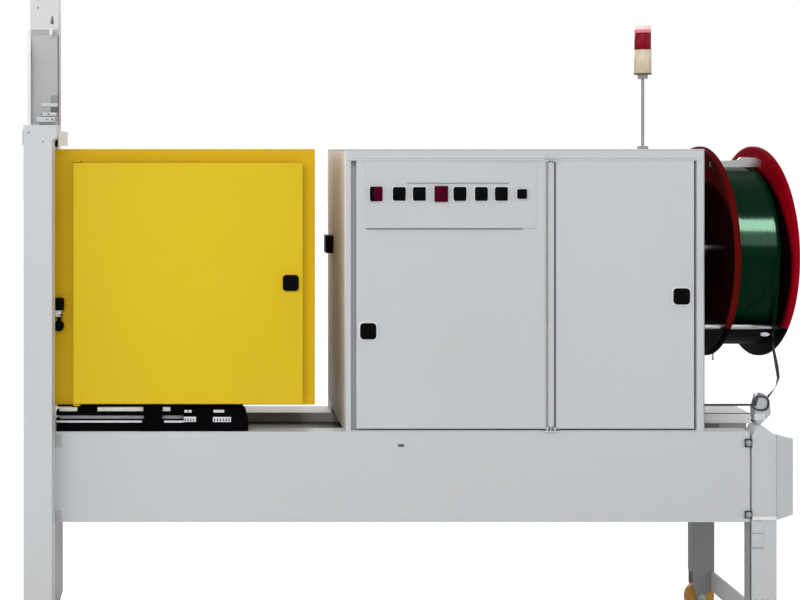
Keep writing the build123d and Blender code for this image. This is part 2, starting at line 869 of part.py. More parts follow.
with BuildPart() as slide_rails:
    for side, base_z in ((-1, beam_top), (1, rear_beam_top)):
        y0, y1 = across(side, rail_y0, rail_y1)
        upright(slide_x0, slide_x1, y0, y1, base_z, beam_top + slide_bar_h)
        with BuildSketch(Plane.XZ.offset(-y0)) as end_block:
            with BuildLine():
                Polyline(
                    (rod_x1, beam_top + slide_bar_h),
                    (rod_x1, beam_top + slide_end_h),
                    (slide_x1 - slide_end_slope, beam_top + slide_end_h),
                    (slide_x1, beam_top + slide_bar_h),
                    close=True,
                )
            make_face()
        extrude(amount=-slide_bar_w)
        upright(slide_x0, slide_x0 + rod_holder_t, y0, y1, beam_top + slide_bar_h, rod_z)
        with BuildSketch(Plane.YZ.offset(slide_x0)) as bore:
            with Locations((side * slide_y, rod_z)):
                Circle(slide_rod_r)
        extrude(amount=rod_holder_t, mode=Mode.SUBTRACT)
write(slide_rails, "slide_rails")

with BuildPart() as slide_rods:
    for side in (-1, 1):
        with BuildSketch(Plane.YZ.offset(slide_x0)) as rod:
            with Locations((side * slide_y, rod_z)):
                Circle(slide_rod_r)
        extrude(amount=rod_x1 - slide_x0)
write(slide_rods, "slide_rods")

under_z = rod_z + slide_rod_r + running_gap
bar_top = beam_top + slide_bar_h
with BuildPart() as head_carriages:
    for side in (-1, 1):
        y0, y1 = across(side, rail_y0, rail_y1)
        saddle_y0 = y0 - running_gap - cheek_t
        saddle_y1 = y1 + running_gap + cheek_t
        upright(carriage_x0, carriage_x1, saddle_y0, saddle_y1, beam_top + cheek_lift, head_z0)
        upright(
            carriage_x0,
            carriage_x1,
            y0 - running_gap,
            y1 + running_gap,
            beam_top,
            bar_top + running_gap,
            mode=Mode.SUBTRACT,
        )
        upright(slide_x0, rod_x1 - running_gap, y0, y1, under_z, under_z + under_bar_h)
        foot_x0 = slide_x0 + under_foot_from_left
        upright(foot_x0, foot_x0 + under_foot_w, y0, y1, under_z + under_bar_h, head_z0)
        foot_x1 = rod_x1 - under_foot_from_right
        upright(foot_x1, rod_x1 - running_gap, y0, y1, under_z + under_bar_h, head_z0)
        with BuildSketch(Plane.YZ.offset(carriage_x0)) as bore:
            with Locations((side * slide_y, rod_z)):
                Circle(slide_rod_r + shaft_clearance)
        extrude(amount=carriage_w, mode=Mode.SUBTRACT)
write(head_carriages, "head_carriages")

# Reel of strap: a turning drum and coil between two fixed guards

coil_x0 = cabinet_x1 + reel_from_wall
coil_x1 = coil_x0 + coil_w
left_web_x = coil_x0 - guard_gap - guard_t
right_web_x = coil_x1 + guard_gap
tie_circle_r = guard_r - tie_inset
shroud_r = guard_r - shroud_inset
shroud_top_z = reel_z - tie_circle_r * math.sin(math.radians(tie_angle))


# Profile of a dished guard, from the shaft out over its flare to the rolled rim
def guard_disc(web_x, bulge):
    outer = web_x if bulge < 0 else web_x + guard_t
    inner = web_x + guard_t if bulge < 0 else web_x
    flare = bulge * guard_flare
    roll_share = (guard_r - guard_bead_r - guard_flat_r) / (guard_r - guard_flat_r)
    with BuildSketch(Plane.XZ) as profile:
        with BuildLine():
            Polyline(
                (inner, reel_z + shaft_r),
                (inner, reel_z + guard_flat_r),
                (inner + flare, reel_z + guard_r),
                (outer + flare, reel_z + guard_r),
                (outer, reel_z + guard_flat_r),
                (outer, reel_z + shaft_r),
                close=True,
            )
        make_face()
        roll_x = inner + flare * roll_share + bulge * guard_bead_r
        with Locations((roll_x, reel_z + guard_r - guard_bead_r)):
            Circle(guard_bead_r)
    revolve(profile.sketch, axis=Axis((0, 0, reel_z), (1, 0, 0)))


def on_circle(radius, angle):
    return (radius * math.cos(math.radians(angle)), reel_z + radius * math.sin(math.radians(angle)))


tie_places = [on_circle(tie_circle_r, 180 + tie_angle), on_circle(tie_circle_r, -tie_angle)]
stay_places = [on_circle(stay_circle_r, angle) for angle in (180 - 7, 60 - 7, -60 - 7)]


def rods(places, radius, x0, x1, mode=Mode.ADD):
    with BuildSketch(Plane.YZ.offset(x0)) as ends:
        with Locations(*places):
            Circle(radius)
    extrude(ends.sketch, amount=x1 - x0, mode=mode)


bar_y, bar_z = on_circle(tie_circle_r, top_bar_angle)
bar_x0 = left_web_x - guard_flare
bar_x1 = right_web_x + guard_t + guard_flare
tab_h = 8
tab_x0 = bar_x1 - 62
tab_x1 = bar_x1 - 22
cut_reach = guard_r + 5
cut_out = 40


# Flat bar over the coil, with a tab bent up at its right
def top_bar(mode):
    with BuildSketch(Plane.XZ.offset(-bar_y + top_bar_t / 2)) as face:
        with BuildLine():
            Polyline(
                (bar_x0, bar_z - top_bar_h),
                (bar_x0, bar_z - 3),
                (tab_x0 - tab_h, bar_z),
                (tab_x0, bar_z + tab_h),
                (tab_x1, bar_z + tab_h - 2),
                (bar_x1, bar_z - 2),
                (bar_x1, bar_z - top_bar_h),
                close=True,
            )
        make_face()
    extrude(face.sketch, amount=-top_bar_t, mode=mode)


# Takes away the part of the guards above or below the level of the tie rods, and the openings
# for the rods and the bar
def trim_guards(x0, x1, z0, z1):
    upright(x0, x1, -cut_reach, cut_reach, z0, z1, mode=Mode.SUBTRACT)
    rods(tie_places, tie_r, x0, x1, mode=Mode.SUBTRACT)
    top_bar(Mode.SUBTRACT)


with BuildPart() as reel_guard_left:
    guard_disc(left_web_x, -1)
    trim_guards(left_web_x - cut_out, left_web_x + cut_out, reel_z - cut_reach, shroud_top_z)
write(reel_guard_left, "reel_guard_left")

with BuildPart() as reel_guard_right:
    guard_disc(right_web_x, 1)
    trim_guards(right_web_x - cut_out, right_web_x + cut_out, reel_z - cut_reach, shroud_top_z)
write(reel_guard_right, "reel_guard_right")

with BuildPart() as reel_lower_shroud:
    guard_disc(left_web_x, -1)
    guard_disc(right_web_x, 1)
    with BuildSketch(Plane.YZ.offset(left_web_x - shroud_reach)) as tray:
        with Locations((0, reel_z)):
            Circle(shroud_r)
            Circle(shroud_r - shroud_t, mode=Mode.SUBTRACT)
    extrude(amount=right_web_x + guard_t - left_web_x + 2 * shroud_reach)
    trim_guards(left_web_x - cut_out, right_web_x + cut_out, shroud_top_z, reel_z + cut_reach)
write(reel_lower_shroud, "reel_lower_shroud")

with BuildPart() as reel_stays:
    rods(stay_places, stay_r, cabinet_x1, left_web_x)
    rods(tie_places, tie_r, cabinet_x1, cabinet_x1 + tie_reach)
    top_bar(Mode.ADD)
write(reel_stays, "reel_stays")

with BuildPart() as reel_shaft:
    rods([(0, reel_z)], shaft_r, cabinet_x1, right_web_x + guard_t + 20)
write(reel_shaft, "reel_shaft")

bore_r = shaft_r + shaft_clearance
with BuildPart() as reel_drum:
    with BuildSketch(Plane.YZ.offset(coil_x0)) as core:
        with Locations((0, reel_z)):
            Circle(drum_r)
            Circle(bore_r, mode=Mode.SUBTRACT)
    extrude(amount=coil_w)
write(reel_drum, "reel_drum")

with BuildPart() as strap_coil:
    with BuildSketch(Plane.YZ.offset(coil_x0)) as ring:
        with Locations((0, reel_z)):
            Circle(coil_r)
            Circle(drum_r, mode=Mode.SUBTRACT)
    extrude(amount=coil_w)
write(strap_coil, "strap_coil")

# Strap from the coil down to its guide and into the cabinet

guide_x = x_leg + guide_from_leg
guide_z = strap_run_z + guide_r + strap_t / 2 + strap_clear
guide_y0 = guide_y - guide_w / 2
guide_plate_y = guide_y0 - guide_cheek_gap - guide_cheek_t
guide_span = guide_w + 2 * (guide_cheek_gap + guide_cheek_t)
with BuildPart() as guide_roller:
    with BuildSketch(Plane.XZ.offset(-guide_y0)) as face:
        with Locations((guide_x, guide_z)):
            Circle(guide_r)
            Circle(guide_pin_r + pin_clearance, mode=Mode.SUBTRACT)
    extrude(amount=-guide_w)
write(guide_roller, "guide_roller")

with BuildPart() as strap_guide:
    for plate_y in (guide_plate_y, guide_plate_y + guide_span - guide_cheek_t):
        with BuildSketch(Plane.XZ.offset(-plate_y)) as plate:
            with BuildLine():
                Polyline(
                    (ridge_x1 - 9, cover_ridge_z),
                    (guide_x - guide_half_w, cover_ridge_z + 26),
                    (guide_x - guide_half_w, cover_ridge_z + 39),
                    (guide_x - 10, guide_z + 10),
                    (guide_x + 10, guide_z + 10),
                    (guide_x + guide_half_w, cover_ridge_z + 39),
                    (guide_x + guide_half_w, cover_ridge_z + 26),
                    (ridge_x1, cover_ridge_z),
                    close=True,
                )
            make_face()
        extrude(amount=-guide_cheek_t)
    with BuildSketch(Plane.XZ.offset(-guide_plate_y)) as foot:
        with BuildLine():
            Polyline(
                (ridge_x1 - 9, cover_ridge_z),
                (ridge_x1 - 12, cover_ridge_z + 9),
                (ridge_x1 + 8, cover_ridge_z + 9),
                (ridge_x1, cover_ridge_z),
                close=True,
            )
        make_face()
    extrude(amount=-guide_span)
    with BuildSketch(Plane.XZ.offset(-guide_plate_y)) as pin:
        with Locations((guide_x, guide_z)):
            Circle(guide_pin_r)
    extrude(amount=-guide_span)
write(strap_guide, "strap_guide")

drop_x = coil_x1 - 12
strap_y = -coil_r - strap_front
turn_r = guide_r + strap_t / 2 + strap_clear
stations = [
    ((drop_x, strap_y, reel_z - 10), 0, 90),
    ((drop_x - 1, strap_y, reel_z - 80), 40, 91),
    ((drop_x - 4, strap_y + 1, reel_z - 150), 80, 92),
    ((drop_x - 7, strap_y + 3, reel_z - 185), 95, 90),
    ((drop_x - 5, strap_y + 6, reel_z - 230), 130, 80),
    ((drop_x + 6, strap_y + 12, reel_z - 275), 140, 76),
    ((drop_x + 13, strap_y + 19, reel_z - 305), 135, 88),
    ((drop_x + 9, strap_y + 26, reel_z - 330), 115, 104),
    ((guide_x + turn_r, guide_y, guide_z), 90, 90),
]
for turned in (15, 30, 45, 60, 75, 90):
    angle = math.radians(turned)
    x = guide_x + turn_r * math.cos(angle)
    z = guide_z - turn_r * math.sin(angle)
    stations.append(((x, guide_y, z), 90, 90 + turned))
stations.append(((cabinet_x1 - 20, guide_y, guide_z - turn_r), 90, 180))


# The strap's section at a station: how far it has twisted, and which way it then runs
def strap_plane(place, twist, heading):
    run = Vector(math.cos(math.radians(heading)), 0, -math.sin(math.radians(heading)))
    flat = Vector(0, 1, 0).rotate(Axis((0, 0, 0), tuple(run)), twist - 90)
    return Plane(origin=place, x_dir=flat, z_dir=run)


with BuildPart() as strap_run:
    for place, twist, heading in stations:
        with BuildSketch(strap_plane(place, twist, heading)):
            Rectangle(strap_w, strap_t)
    loft(ruled=True)
write(strap_run, "strap_run")

# Signal tower

tower_x = cabinet_x1 - pole_from_right
with BuildPart() as signal_pole:
    with BuildSketch(Plane.XY.offset(cabinet_top)) as pole:
        with Locations((tower_x, 0)):
            Circle(pole_r)
    extrude(amount=pole_h)
    with BuildSketch(Plane.XY.offset(cabinet_top)) as base:
        with Locations((tower_x, 0)):
            Circle(14)
    extrude(amount=8)
    with BuildSketch(Plane.XY.offset(cabinet_top + pole_h)) as foot:
        with Locations((tower_x, 0)):
            Circle(13)
    extrude(amount=lamp_foot_h)
write(signal_pole, "signal_pole")

lamp_z = cabinet_top + pole_h + lamp_foot_h


def lamp(z, height, radius):
    with BuildSketch(Plane.XY.offset(z)) as lens:
        with Locations((tower_x, 0)):
            Circle(radius)
    extrude(lens.sketch, amount=height)


with BuildPart() as signal_lamp_cream:
    lamp(lamp_z, lamp_cream_h, lamp_r)
write(signal_lamp_cream, "signal_lamp_cream")

with BuildPart() as signal_lamp_red:
    lamp(lamp_z + lamp_cream_h, lamp_red_h, lamp_r - 1)
    lamp(lamp_z + lamp_cream_h + lamp_red_h, lamp_cap_h, lamp_r - 2)
write(signal_lamp_red, "signal_lamp_red")
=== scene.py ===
import bpy
import bmesh
import math
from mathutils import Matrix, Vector


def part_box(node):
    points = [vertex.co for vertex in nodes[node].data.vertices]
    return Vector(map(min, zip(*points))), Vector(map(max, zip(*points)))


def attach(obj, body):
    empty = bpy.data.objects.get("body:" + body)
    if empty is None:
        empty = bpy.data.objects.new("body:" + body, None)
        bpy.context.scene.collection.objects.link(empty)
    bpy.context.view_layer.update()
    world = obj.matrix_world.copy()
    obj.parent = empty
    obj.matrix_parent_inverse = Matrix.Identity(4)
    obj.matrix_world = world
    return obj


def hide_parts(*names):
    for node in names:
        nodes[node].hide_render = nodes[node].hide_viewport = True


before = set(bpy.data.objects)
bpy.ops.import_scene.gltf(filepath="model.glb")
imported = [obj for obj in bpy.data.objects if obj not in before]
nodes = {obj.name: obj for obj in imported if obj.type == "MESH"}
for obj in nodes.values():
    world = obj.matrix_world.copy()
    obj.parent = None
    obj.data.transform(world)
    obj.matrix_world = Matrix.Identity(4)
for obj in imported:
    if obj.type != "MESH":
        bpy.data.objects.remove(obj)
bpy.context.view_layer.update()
scene = bpy.context.scene
print("frame loaded:", len(nodes), "nodes")


# Camera: level with the top of the cabinet, straight on, shifted so that the arch is at the left edge
view = {"place": (0.099, -3.705, 1.300), "focalPixels": 1390, "frame": (800, 600), "axisAt": (200, 149),
        "sensor": 36, "farthest": 60}
frameWidth, frameHeight = view["frame"]
cameraData = bpy.data.cameras.new("photoCamera")
cameraData.sensor_width = view["sensor"]
cameraData.lens = view["focalPixels"] * view["sensor"] / frameWidth
cameraData.shift_x = (frameWidth / 2 - view["axisAt"][0]) / frameWidth
cameraData.shift_y = (view["axisAt"][1] - frameHeight / 2) / frameWidth
cameraData.clip_end = view["farthest"]
camera = bpy.data.objects.new("photoCamera", cameraData)
camera.location = view["place"]
camera.rotation_euler = (math.radians(90), 0, 0)
scene.collection.objects.link(camera)
scene.camera = camera
scene.view_settings.view_transform = "Standard"


# Shader nodes. An input takes a plain value, or another node's output
def feed(node, inputs):
    for key, value in inputs.items():
        if isinstance(value, bpy.types.NodeSocket):
            node.id_data.links.new(value, node.inputs[key])
        else:
            node.inputs[key].default_value = value


def addNode(tree, kind, x, y, inputs=None, **settings):
    node = tree.nodes.new("ShaderNode" + kind)
    node.location = (x, y)
    for key, value in settings.items():
        setattr(node, key, value)
    feed(node, inputs or {})
    return node


def newPaint(name):
    paint = bpy.data.materials.new(name)
    paint.use_nodes = True
    return paint, paint.node_tree


# Studio: a white room that the camera and mirrors see, and plain lamps from the front and above
studio = {
    "roomLevel": 0.385, "roomTint": (0.98, 0.99, 1, 1),
    "lamps": [
        # name, place, aim, width, height, watts
        ("frontLamp", (-1.2, -5.2, 3.5), (0.1, 0, 0.9), 4.6, 2.4, 134),
        ("topLamp", (0.2, -0.6, 5.2), (0.2, 0, 0), 4.0, 2.0, 46),
        ("rearLamp", (0.4, 4.8, 3.2), (0.2, 0, 0.9), 3.4, 2.2, 90),
        ("leftLamp", (-4.6, -1.6, 2.4), (0.3, 0, 0.9), 2.0, 2.0, 50),
        ("rightLamp", (4.8, -2.2, 2.2), (1.2, 0, 0.6), 2.0, 2.0, 34),
        ("windowGlow", (2.9, -3.3, 3.45), (2.9, 0, 1.0), 3.4, 1.10, 1750),
        ("windowFoot", (3.1, -3.4, 2.20), (3.1, 0, 1.0), 3.4, 1.10, 190),
    ],
    "onlyOnReel": ("windowGlow", "windowFoot"),
    "floorSize": 30, "floorTone": (0.86, 0.86, 0.86, 1), "floorGlow": 1.3, "floorShare": 0.8,
}
world = bpy.data.worlds.new("whiteRoom")
world.use_nodes = True
scene.world = world
tree = world.node_tree
tree.nodes.clear()
rays = addNode(tree, "LightPath", -800, 0).outputs
seenOrMirrored = addNode(tree, "Math", -600, 100, {
    0: rays["Is Camera Ray"], 1: rays["Is Glossy Ray"]}, operation="MAXIMUM")
throughGlass = addNode(tree, "Math", -400, 100, {
    0: seenOrMirrored.outputs[0], 1: rays["Is Transmission Ray"]}, operation="MAXIMUM")
roomLight = addNode(tree, "Background", -400, -100, {
    "Color": studio["roomTint"], "Strength": studio["roomLevel"]})
whiteWall = addNode(tree, "Background", -400, -240, {"Color": (1, 1, 1, 1), "Strength": 1})
either = addNode(tree, "MixShader", -150, 0, {
    "Fac": throughGlass.outputs[0], 1: roomLight.outputs[0], 2: whiteWall.outputs[0]})
addNode(tree, "OutputWorld", 50, 0, {"Surface": either.outputs[0]})

for name, place, aim, width, height, watts in studio["lamps"]:
    lampData = bpy.data.lights.new(name, "AREA")
    lampData.shape = "RECTANGLE"
    lampData.size = width
    lampData.size_y = height
    lampData.energy = watts
    lamp = bpy.data.objects.new(name, lampData)
    lamp.location = place
    lamp.rotation_euler = (Vector(aim) - Vector(place)).to_track_quat("-Z", "Y").to_euler()
    scene.collection.objects.link(lamp)
    if name in studio["onlyOnReel"]:  # a window's reflection on the wound strap and nothing else
        lamp.visible_diffuse = False
        lamp.light_linking.receiver_collection = bpy.data.collections.new(name + "Shines")

floorMesh = bpy.data.meshes.new("floor")
floorShape = bmesh.new()
bmesh.ops.create_grid(floorShape, x_segments=1, y_segments=1, size=studio["floorSize"])
floorShape.to_mesh(floorMesh)
floorShape.free()
floor = bpy.data.objects.new("floor", floorMesh)
scene.collection.objects.link(floor)
floorPaint, tree = newPaint("floorPaint")
tree.nodes.clear()
rays = addNode(tree, "LightPath", -600, 200).outputs
shareSeen = addNode(tree, "Math", -400, 200, {
    0: rays["Is Camera Ray"], 1: studio["floorShare"]}, operation="MULTIPLY")
plainFloor = addNode(tree, "BsdfDiffuse", -400, 0, {"Color": studio["floorTone"]})
whiteFloor = addNode(tree, "Emission", -400, -150, {"Strength": studio["floorGlow"]})
either = addNode(tree, "MixShader", -150, 0, {
    "Fac": shareSeen.outputs[0], 1: plainFloor.outputs[0], 2: whiteFloor.outputs[0]})
addNode(tree, "OutputMaterial", 50, 0, {"Surface": either.outputs[0]})
floorMesh.materials.append(floorPaint)
print("camera, lamps and floor set")


# Finishes. Each coat has its colour, a slow drift of tone, a fine grain and a skin bump
coats = {
    # name: colour, drift's colour, drift's scale, roughness from and to, sheen,
    # (grain's scale, skin's scale, skin's depth), and what changes with height or radius:
    # dust is its top and colour; fade, step and dish are from, to, and the colour below or inside
    "greyEnamel": ((0.590, 0.606, 0.622), (0.566, 0.578, 0.592), 1.1, (0.38, 0.50), 0.30,
        (160, 420, 0.05), {"dust": (0.34, (0.40, 0.38, 0.35))}),
    "paleEnamel": ((0.840, 0.842, 0.840), (0.800, 0.802, 0.800), 1.4, (0.38, 0.50), 0.30,
        (160, 420, 0.05)),
    # below the step its foot wears the shaded column's grey: painted shade
    "guardWithPaintedShadeFoot": ((0.670, 0.674, 0.674), (0.640, 0.642, 0.640), 1.4, (0.38, 0.50), 0.30,
        (160, 420, 0.05), {"step": (1.6132, 1.6140, (0.395, 0.397, 0.395))}),
    "shadedEnamel": ((0.475, 0.478, 0.475), (0.440, 0.441, 0.440), 1.6, (0.42, 0.55), 0.25,
        (160, 420, 0.05), {"dust": (0.3, (0.38, 0.36, 0.33))}),
    # lighter and warmer than the front beam's grey: painted light on the rear beam, which sits in the
    # shade of the cabinet and head
    "rearBeamPaintedLight": ((0.760, 0.730, 0.700), (0.700, 0.672, 0.642), 1.6, (0.42, 0.55), 0.2,
        (160, 420, 0.05)),
    # nearly black: painted shade on the tray between the beams
    "trayPaintedShade": ((0.120, 0.116, 0.112), (0.095, 0.092, 0.088), 3, (0.48, 0.60), 0.1,
        (160, 420, 0.05)),
    "deepShade": ((0.270, 0.270, 0.265), (0.235, 0.233, 0.228), 3, (0.45, 0.58), 0.15,
        (160, 420, 0.05), {"dust": (0.3, (0.30, 0.28, 0.26))}),
    # brighter and warmer than the cabinet's grey: painted light on a wall that stands in the gap's shade;
    # the fade darkens it downwards, painted shade
    "wallPaintedLightAndShade": ((0.880, 0.840, 0.770), (0.840, 0.790, 0.710), 1.5, (0.45, 0.58), 0.1,
        (160, 420, 0.05), {"fade": (0.60, 1.28, (0.470, 0.430, 0.370))}),
    "yellowEnamel": ((0.745, 0.533, 0.012), (0.700, 0.470, 0.010), 1.3, (0.30, 0.40), 0.22,
        (170, 450, 0.05)),
    # darker and more orange than the door's yellow: the head's own yellow with painted shade
    "yellowFramePaintedShade": ((0.735, 0.485, 0.009), (0.680, 0.415, 0.005), 1.8, (0.32, 0.44), 0.15,
        (170, 450, 0.05)),
    "blackEnamel": ((0.0015, 0.0015, 0.0017), (0.003, 0.003, 0.0034), 4, (0.40, 0.52), 0.008,
        (300, 600, 0.08)),
    "blackPlastic": ((0.0018, 0.0018, 0.0022), (0.0035, 0.0035, 0.004), 9, (0.36, 0.50), 0.03,
        (500, 900, 0.16)),
    "panelFoil": ((0.585, 0.60, 0.615), (0.56, 0.575, 0.59), 2, (0.42, 0.52), 0.3,
        (260, 700, 0.06)),
    "whiteBezel": ((0.80, 0.81, 0.82), (0.76, 0.77, 0.78), 12, (0.30, 0.40), 0.4,
        (300, 700, 0.04)),
    # inside its dish partly dark paint and partly painted shade near the coil; the lean lets the red reach
    # further in at the top, a painted light
    "rightGuardLightAndShade": ((0.300, 0.002, 0.010), (0.225, 0.001, 0.006), 3, (0.16, 0.24), 0.002,
        (220, 380, 0.05), {"dishPaintAndShade": (0.256, 0.272, (0.0050, 0.0012, 0.0015)), "lean": 0.17}),
    # the guard's red darkened, painted shade beside the cabinet; inside its dish partly dark paint and
    # partly painted shade; the lean lets the red reach further in at the top, a painted light
    "leftGuardLightAndShade": ((0.118, 0.0066, 0.0036), (0.095, 0.0036, 0.0036), 3, (0.30, 0.42), 0.002,
        (220, 380, 0.05), {"dishPaintAndShade": (0.250, 0.268, (0.0180, 0.0030, 0.0034)), "lean": 0.42}),
    "shroudEnamel": ((0.0020, 0.0018, 0.0020), (0.0035, 0.003, 0.003), 5, (0.40, 0.52), 0.012,
        (300, 500, 0.10)),
    "creamLens": ((0.62, 0.50, 0.345), (0.68, 0.57, 0.41), 30, (0.20, 0.30), 0.35,
        (300, 500, 0.04)),
    "redLens": ((0.96, 0.80, 0.82), (0.92, 0.72, 0.75), 30, (0.16, 0.26), 0.06,
        (300, 500, 0.04), {"step": (1.6085, 1.6095, (0.235, 0.006, 0.018))}),
    "pinkBand": ((0.82, 0.20, 0.27), (0.86, 0.30, 0.36), 30, (0.16, 0.26), 0.3,
        (300, 500, 0.04)),
    "creamZinc": ((0.70, 0.68, 0.62), (0.60, 0.58, 0.54), 60, (0.28, 0.42), 0.4,
        (300, 600, 0.06)),
    "paleSteel": ((0.62, 0.63, 0.70), (0.74, 0.74, 0.76), 35, (0.26, 0.38), 0.5,
        (300, 600, 0.06)),
    "blueBlack": ((0.020, 0.024, 0.040), (0.035, 0.040, 0.060), 60, (0.30, 0.42), 0.3,
        (300, 600, 0.10)),
    "greySeam": ((0.150, 0.150, 0.155), (0.120, 0.120, 0.125), 10, (0.45, 0.55), 0.1,
        (300, 600, 0.06)),
    # paler and bluer than the frame's grey: painted to cancel the yellow light bounced from the head onto
    # the cross head
    "paleBlueBounceOffset": ((0.800, 0.835, 0.900), (0.780, 0.815, 0.880), 1.4, (0.38, 0.50), 0.30,
        (160, 420, 0.05)),
    "midGrey": ((0.330, 0.330, 0.330), (0.290, 0.290, 0.290), 40, (0.45, 0.55), 0.1,
        (300, 600, 0.06)),
    "poleEnamel": ((0.300, 0.290, 0.285), (0.36, 0.35, 0.34), 20, (0.36, 0.48), 0.25,
        (200, 500, 0.05)),
    "redCap": ((0.088, 0.0008, 0.015), (0.060, 0.0005, 0.009), 40, (0.20, 0.30), 0.03,
        (400, 700, 0.04)),
    "brownRing": ((0.16, 0.10, 0.07), (0.12, 0.08, 0.05), 20, (0.35, 0.45), 0.3,
        (300, 500, 0.06)),
    "amberTyre": ((0.50, 0.235, 0.035), (0.40, 0.18, 0.03), 25, (0.30, 0.45), 0.3,
        (300, 500, 0.10)),
    "darkStrap": ((0.0010, 0.0165, 0.0060), (0.0009, 0.0140, 0.0052), 20, (0.28, 0.40), 0.02,
        (700, 900, 0.06), {"step": (0.770, 0.820, (0.048, 0.049, 0.050))}),
}
reelHeight = 1.030


def coatPaint(name, base, drift, driftScale, roughness, sheen, surface, changes=None):
    changes = changes or {}
    grainScale, skinScale, skinDepth = surface
    paint, tree = newPaint(name)
    place = addNode(tree, "TexCoord", -1300, 0).outputs["Object"]
    clouds = addNode(tree, "TexNoise", -1100, 250, {"Vector": place, "Scale": driftScale, "Detail": 3})
    spread = addNode(tree, "MapRange", -900, 250, {
        "Value": clouds.outputs["Fac"], "From Min": 0.35, "From Max": 0.65})
    tone = addNode(tree, "Mix", -700, 250, {
        "Factor": spread.outputs["Result"], "A": (*base, 1), "B": (*drift, 1)}, data_type="RGBA")
    grain = addNode(tree, "TexNoise", -1100, -50, {"Vector": place, "Scale": grainScale, "Detail": 4})
    dull = addNode(tree, "MapRange", -900, -50, {
        "Value": grain.outputs["Fac"], "From Min": 0.3, "From Max": 0.7,
        "To Min": roughness[0], "To Max": roughness[1]})
    skin = addNode(tree, "TexNoise", -1100, -350, {"Vector": place, "Scale": skinScale, "Detail": 2})
    bump = addNode(tree, "Bump", -900, -350, {
        "Height": skin.outputs["Fac"], "Strength": skinDepth, "Distance": 0.0006})
    colour = tone.outputs["Result"]
    if "dust" in changes:  # dull dust that thins out upwards from the floor
        dustTop, dustTone = changes["dust"]
        height = addNode(tree, "SeparateXYZ", -1100, 500, {"Vector": place}).outputs["Z"]
        low = addNode(tree, "MapRange", -900, 500, {
            "Value": height, "From Min": dustTop, "From Max": 0, "To Max": 0.55})
        patchy = addNode(tree, "Math", -700, 500, {
            0: low.outputs["Result"], 1: grain.outputs["Fac"]}, operation="MULTIPLY")
        dusty = addNode(tree, "Mix", -500, 350, {
            "Factor": patchy.outputs[0], "A": colour, "B": (*dustTone, 1)}, data_type="RGBA")
        colour = dusty.outputs["Result"]
    for change in ("fade", "step", "dishPaintAndShade"):  # another colour below a height, or inside a radius
        if change not in changes:
            continue
        start, end, other = changes[change]
        measure = addNode(tree, "SeparateXYZ", -1100, 750, {"Vector": place}).outputs["Z"]
        if change == "dishPaintAndShade":  # the radius from the shaft, which grows faster in the upper half
            # The lean lets the red reach further in on the lit upper half, a painted light; inside the
            # radius the colour is partly dark paint and partly painted shade
            fromShaft = addNode(tree, "VectorMath", -1300, 750, {
                0: place, 1: (0, 0, reelHeight)}, operation="SUBTRACT").outputs["Vector"]
            across = addNode(tree, "VectorMath", -1200, 900, {
                0: fromShaft, 1: (0, 1, 1)}, operation="MULTIPLY")
            length = addNode(tree, "VectorMath", -1000, 900, {
                0: across.outputs["Vector"]}, operation="LENGTH")
            height = addNode(tree, "SeparateXYZ", -1100, 1050, {"Vector": fromShaft}).outputs["Z"]
            upperHalf = addNode(tree, "Math", -1000, 1200, {0: height, 1: 0}, operation="MAXIMUM")
            measure = addNode(tree, "Math", -950, 1050, {
                0: upperHalf.outputs[0], 1: changes["lean"], 2: length.outputs["Value"]},
                operation="MULTIPLY_ADD").outputs[0]
        share = addNode(tree, "MapRange", -900, 750, {
            "Value": measure, "From Min": start, "From Max": end}).outputs["Result"]
        mixed = addNode(tree, "Mix", -500, 650, {
            "Factor": share, "A": (*other, 1), "B": colour}, data_type="RGBA")
        colour = mixed.outputs["Result"]
        if change == "dishPaintAndShade":  # the sheen fades out inside the radius
            sheen = addNode(tree, "Math", -700, 900, {0: share, 1: sheen}, operation="MULTIPLY").outputs[0]
    feed(tree.nodes["Principled BSDF"], {
        "Base Color": colour, "Roughness": dull.outputs["Result"], "Normal": bump.outputs["Normal"],
        "Specular IOR Level": sheen})
    return paint


paints = {name: coatPaint(name, *recipe) for name, recipe in coats.items()}


# Bright steel with fine drawn lines along one direction, a little darker than the rest
lineShade = 0.82


def drawnSteel(name, colour, stretch, roughness):
    steel, tree = newPaint(name)
    place = addNode(tree, "TexCoord", -1100, 0).outputs["Object"]
    along = addNode(tree, "Mapping", -900, 0, {"Vector": place, "Scale": stretch})
    lines = addNode(tree, "TexNoise", -700, 0, {
        "Vector": along.outputs["Vector"], "Scale": 60, "Detail": 5}).outputs["Fac"]
    dull = addNode(tree, "MapRange", -500, 0, {
        "Value": lines, "To Min": roughness[0], "To Max": roughness[1]})
    tone = addNode(tree, "Mix", -500, 250, {
        "Factor": lines, "A": (*colour, 1), "B": (*[lineShade * part for part in colour], 1)},
        data_type="RGBA")
    bump = addNode(tree, "Bump", -500, -250, {"Height": lines, "Strength": 0.08, "Distance": 0.0004})
    feed(tree.nodes["Principled BSDF"], {
        "Base Color": tone.outputs["Result"], "Roughness": dull.outputs["Result"],
        "Normal": bump.outputs["Normal"], "Metallic": 1})
    return steel


for name, colour, stretch, roughness in (
        ("rodSteel", (0.55, 0.55, 0.57), (1, 40, 40), (0.22, 0.38)),
        ("boltSteel", (0.42, 0.42, 0.43), (30, 30, 30), (0.28, 0.42)),
        ("plateSteel", (0.60, 0.61, 0.62), (40, 40, 1), (0.28, 0.45))):
    paints[name] = drawnSteel(name, colour, stretch, roughness)


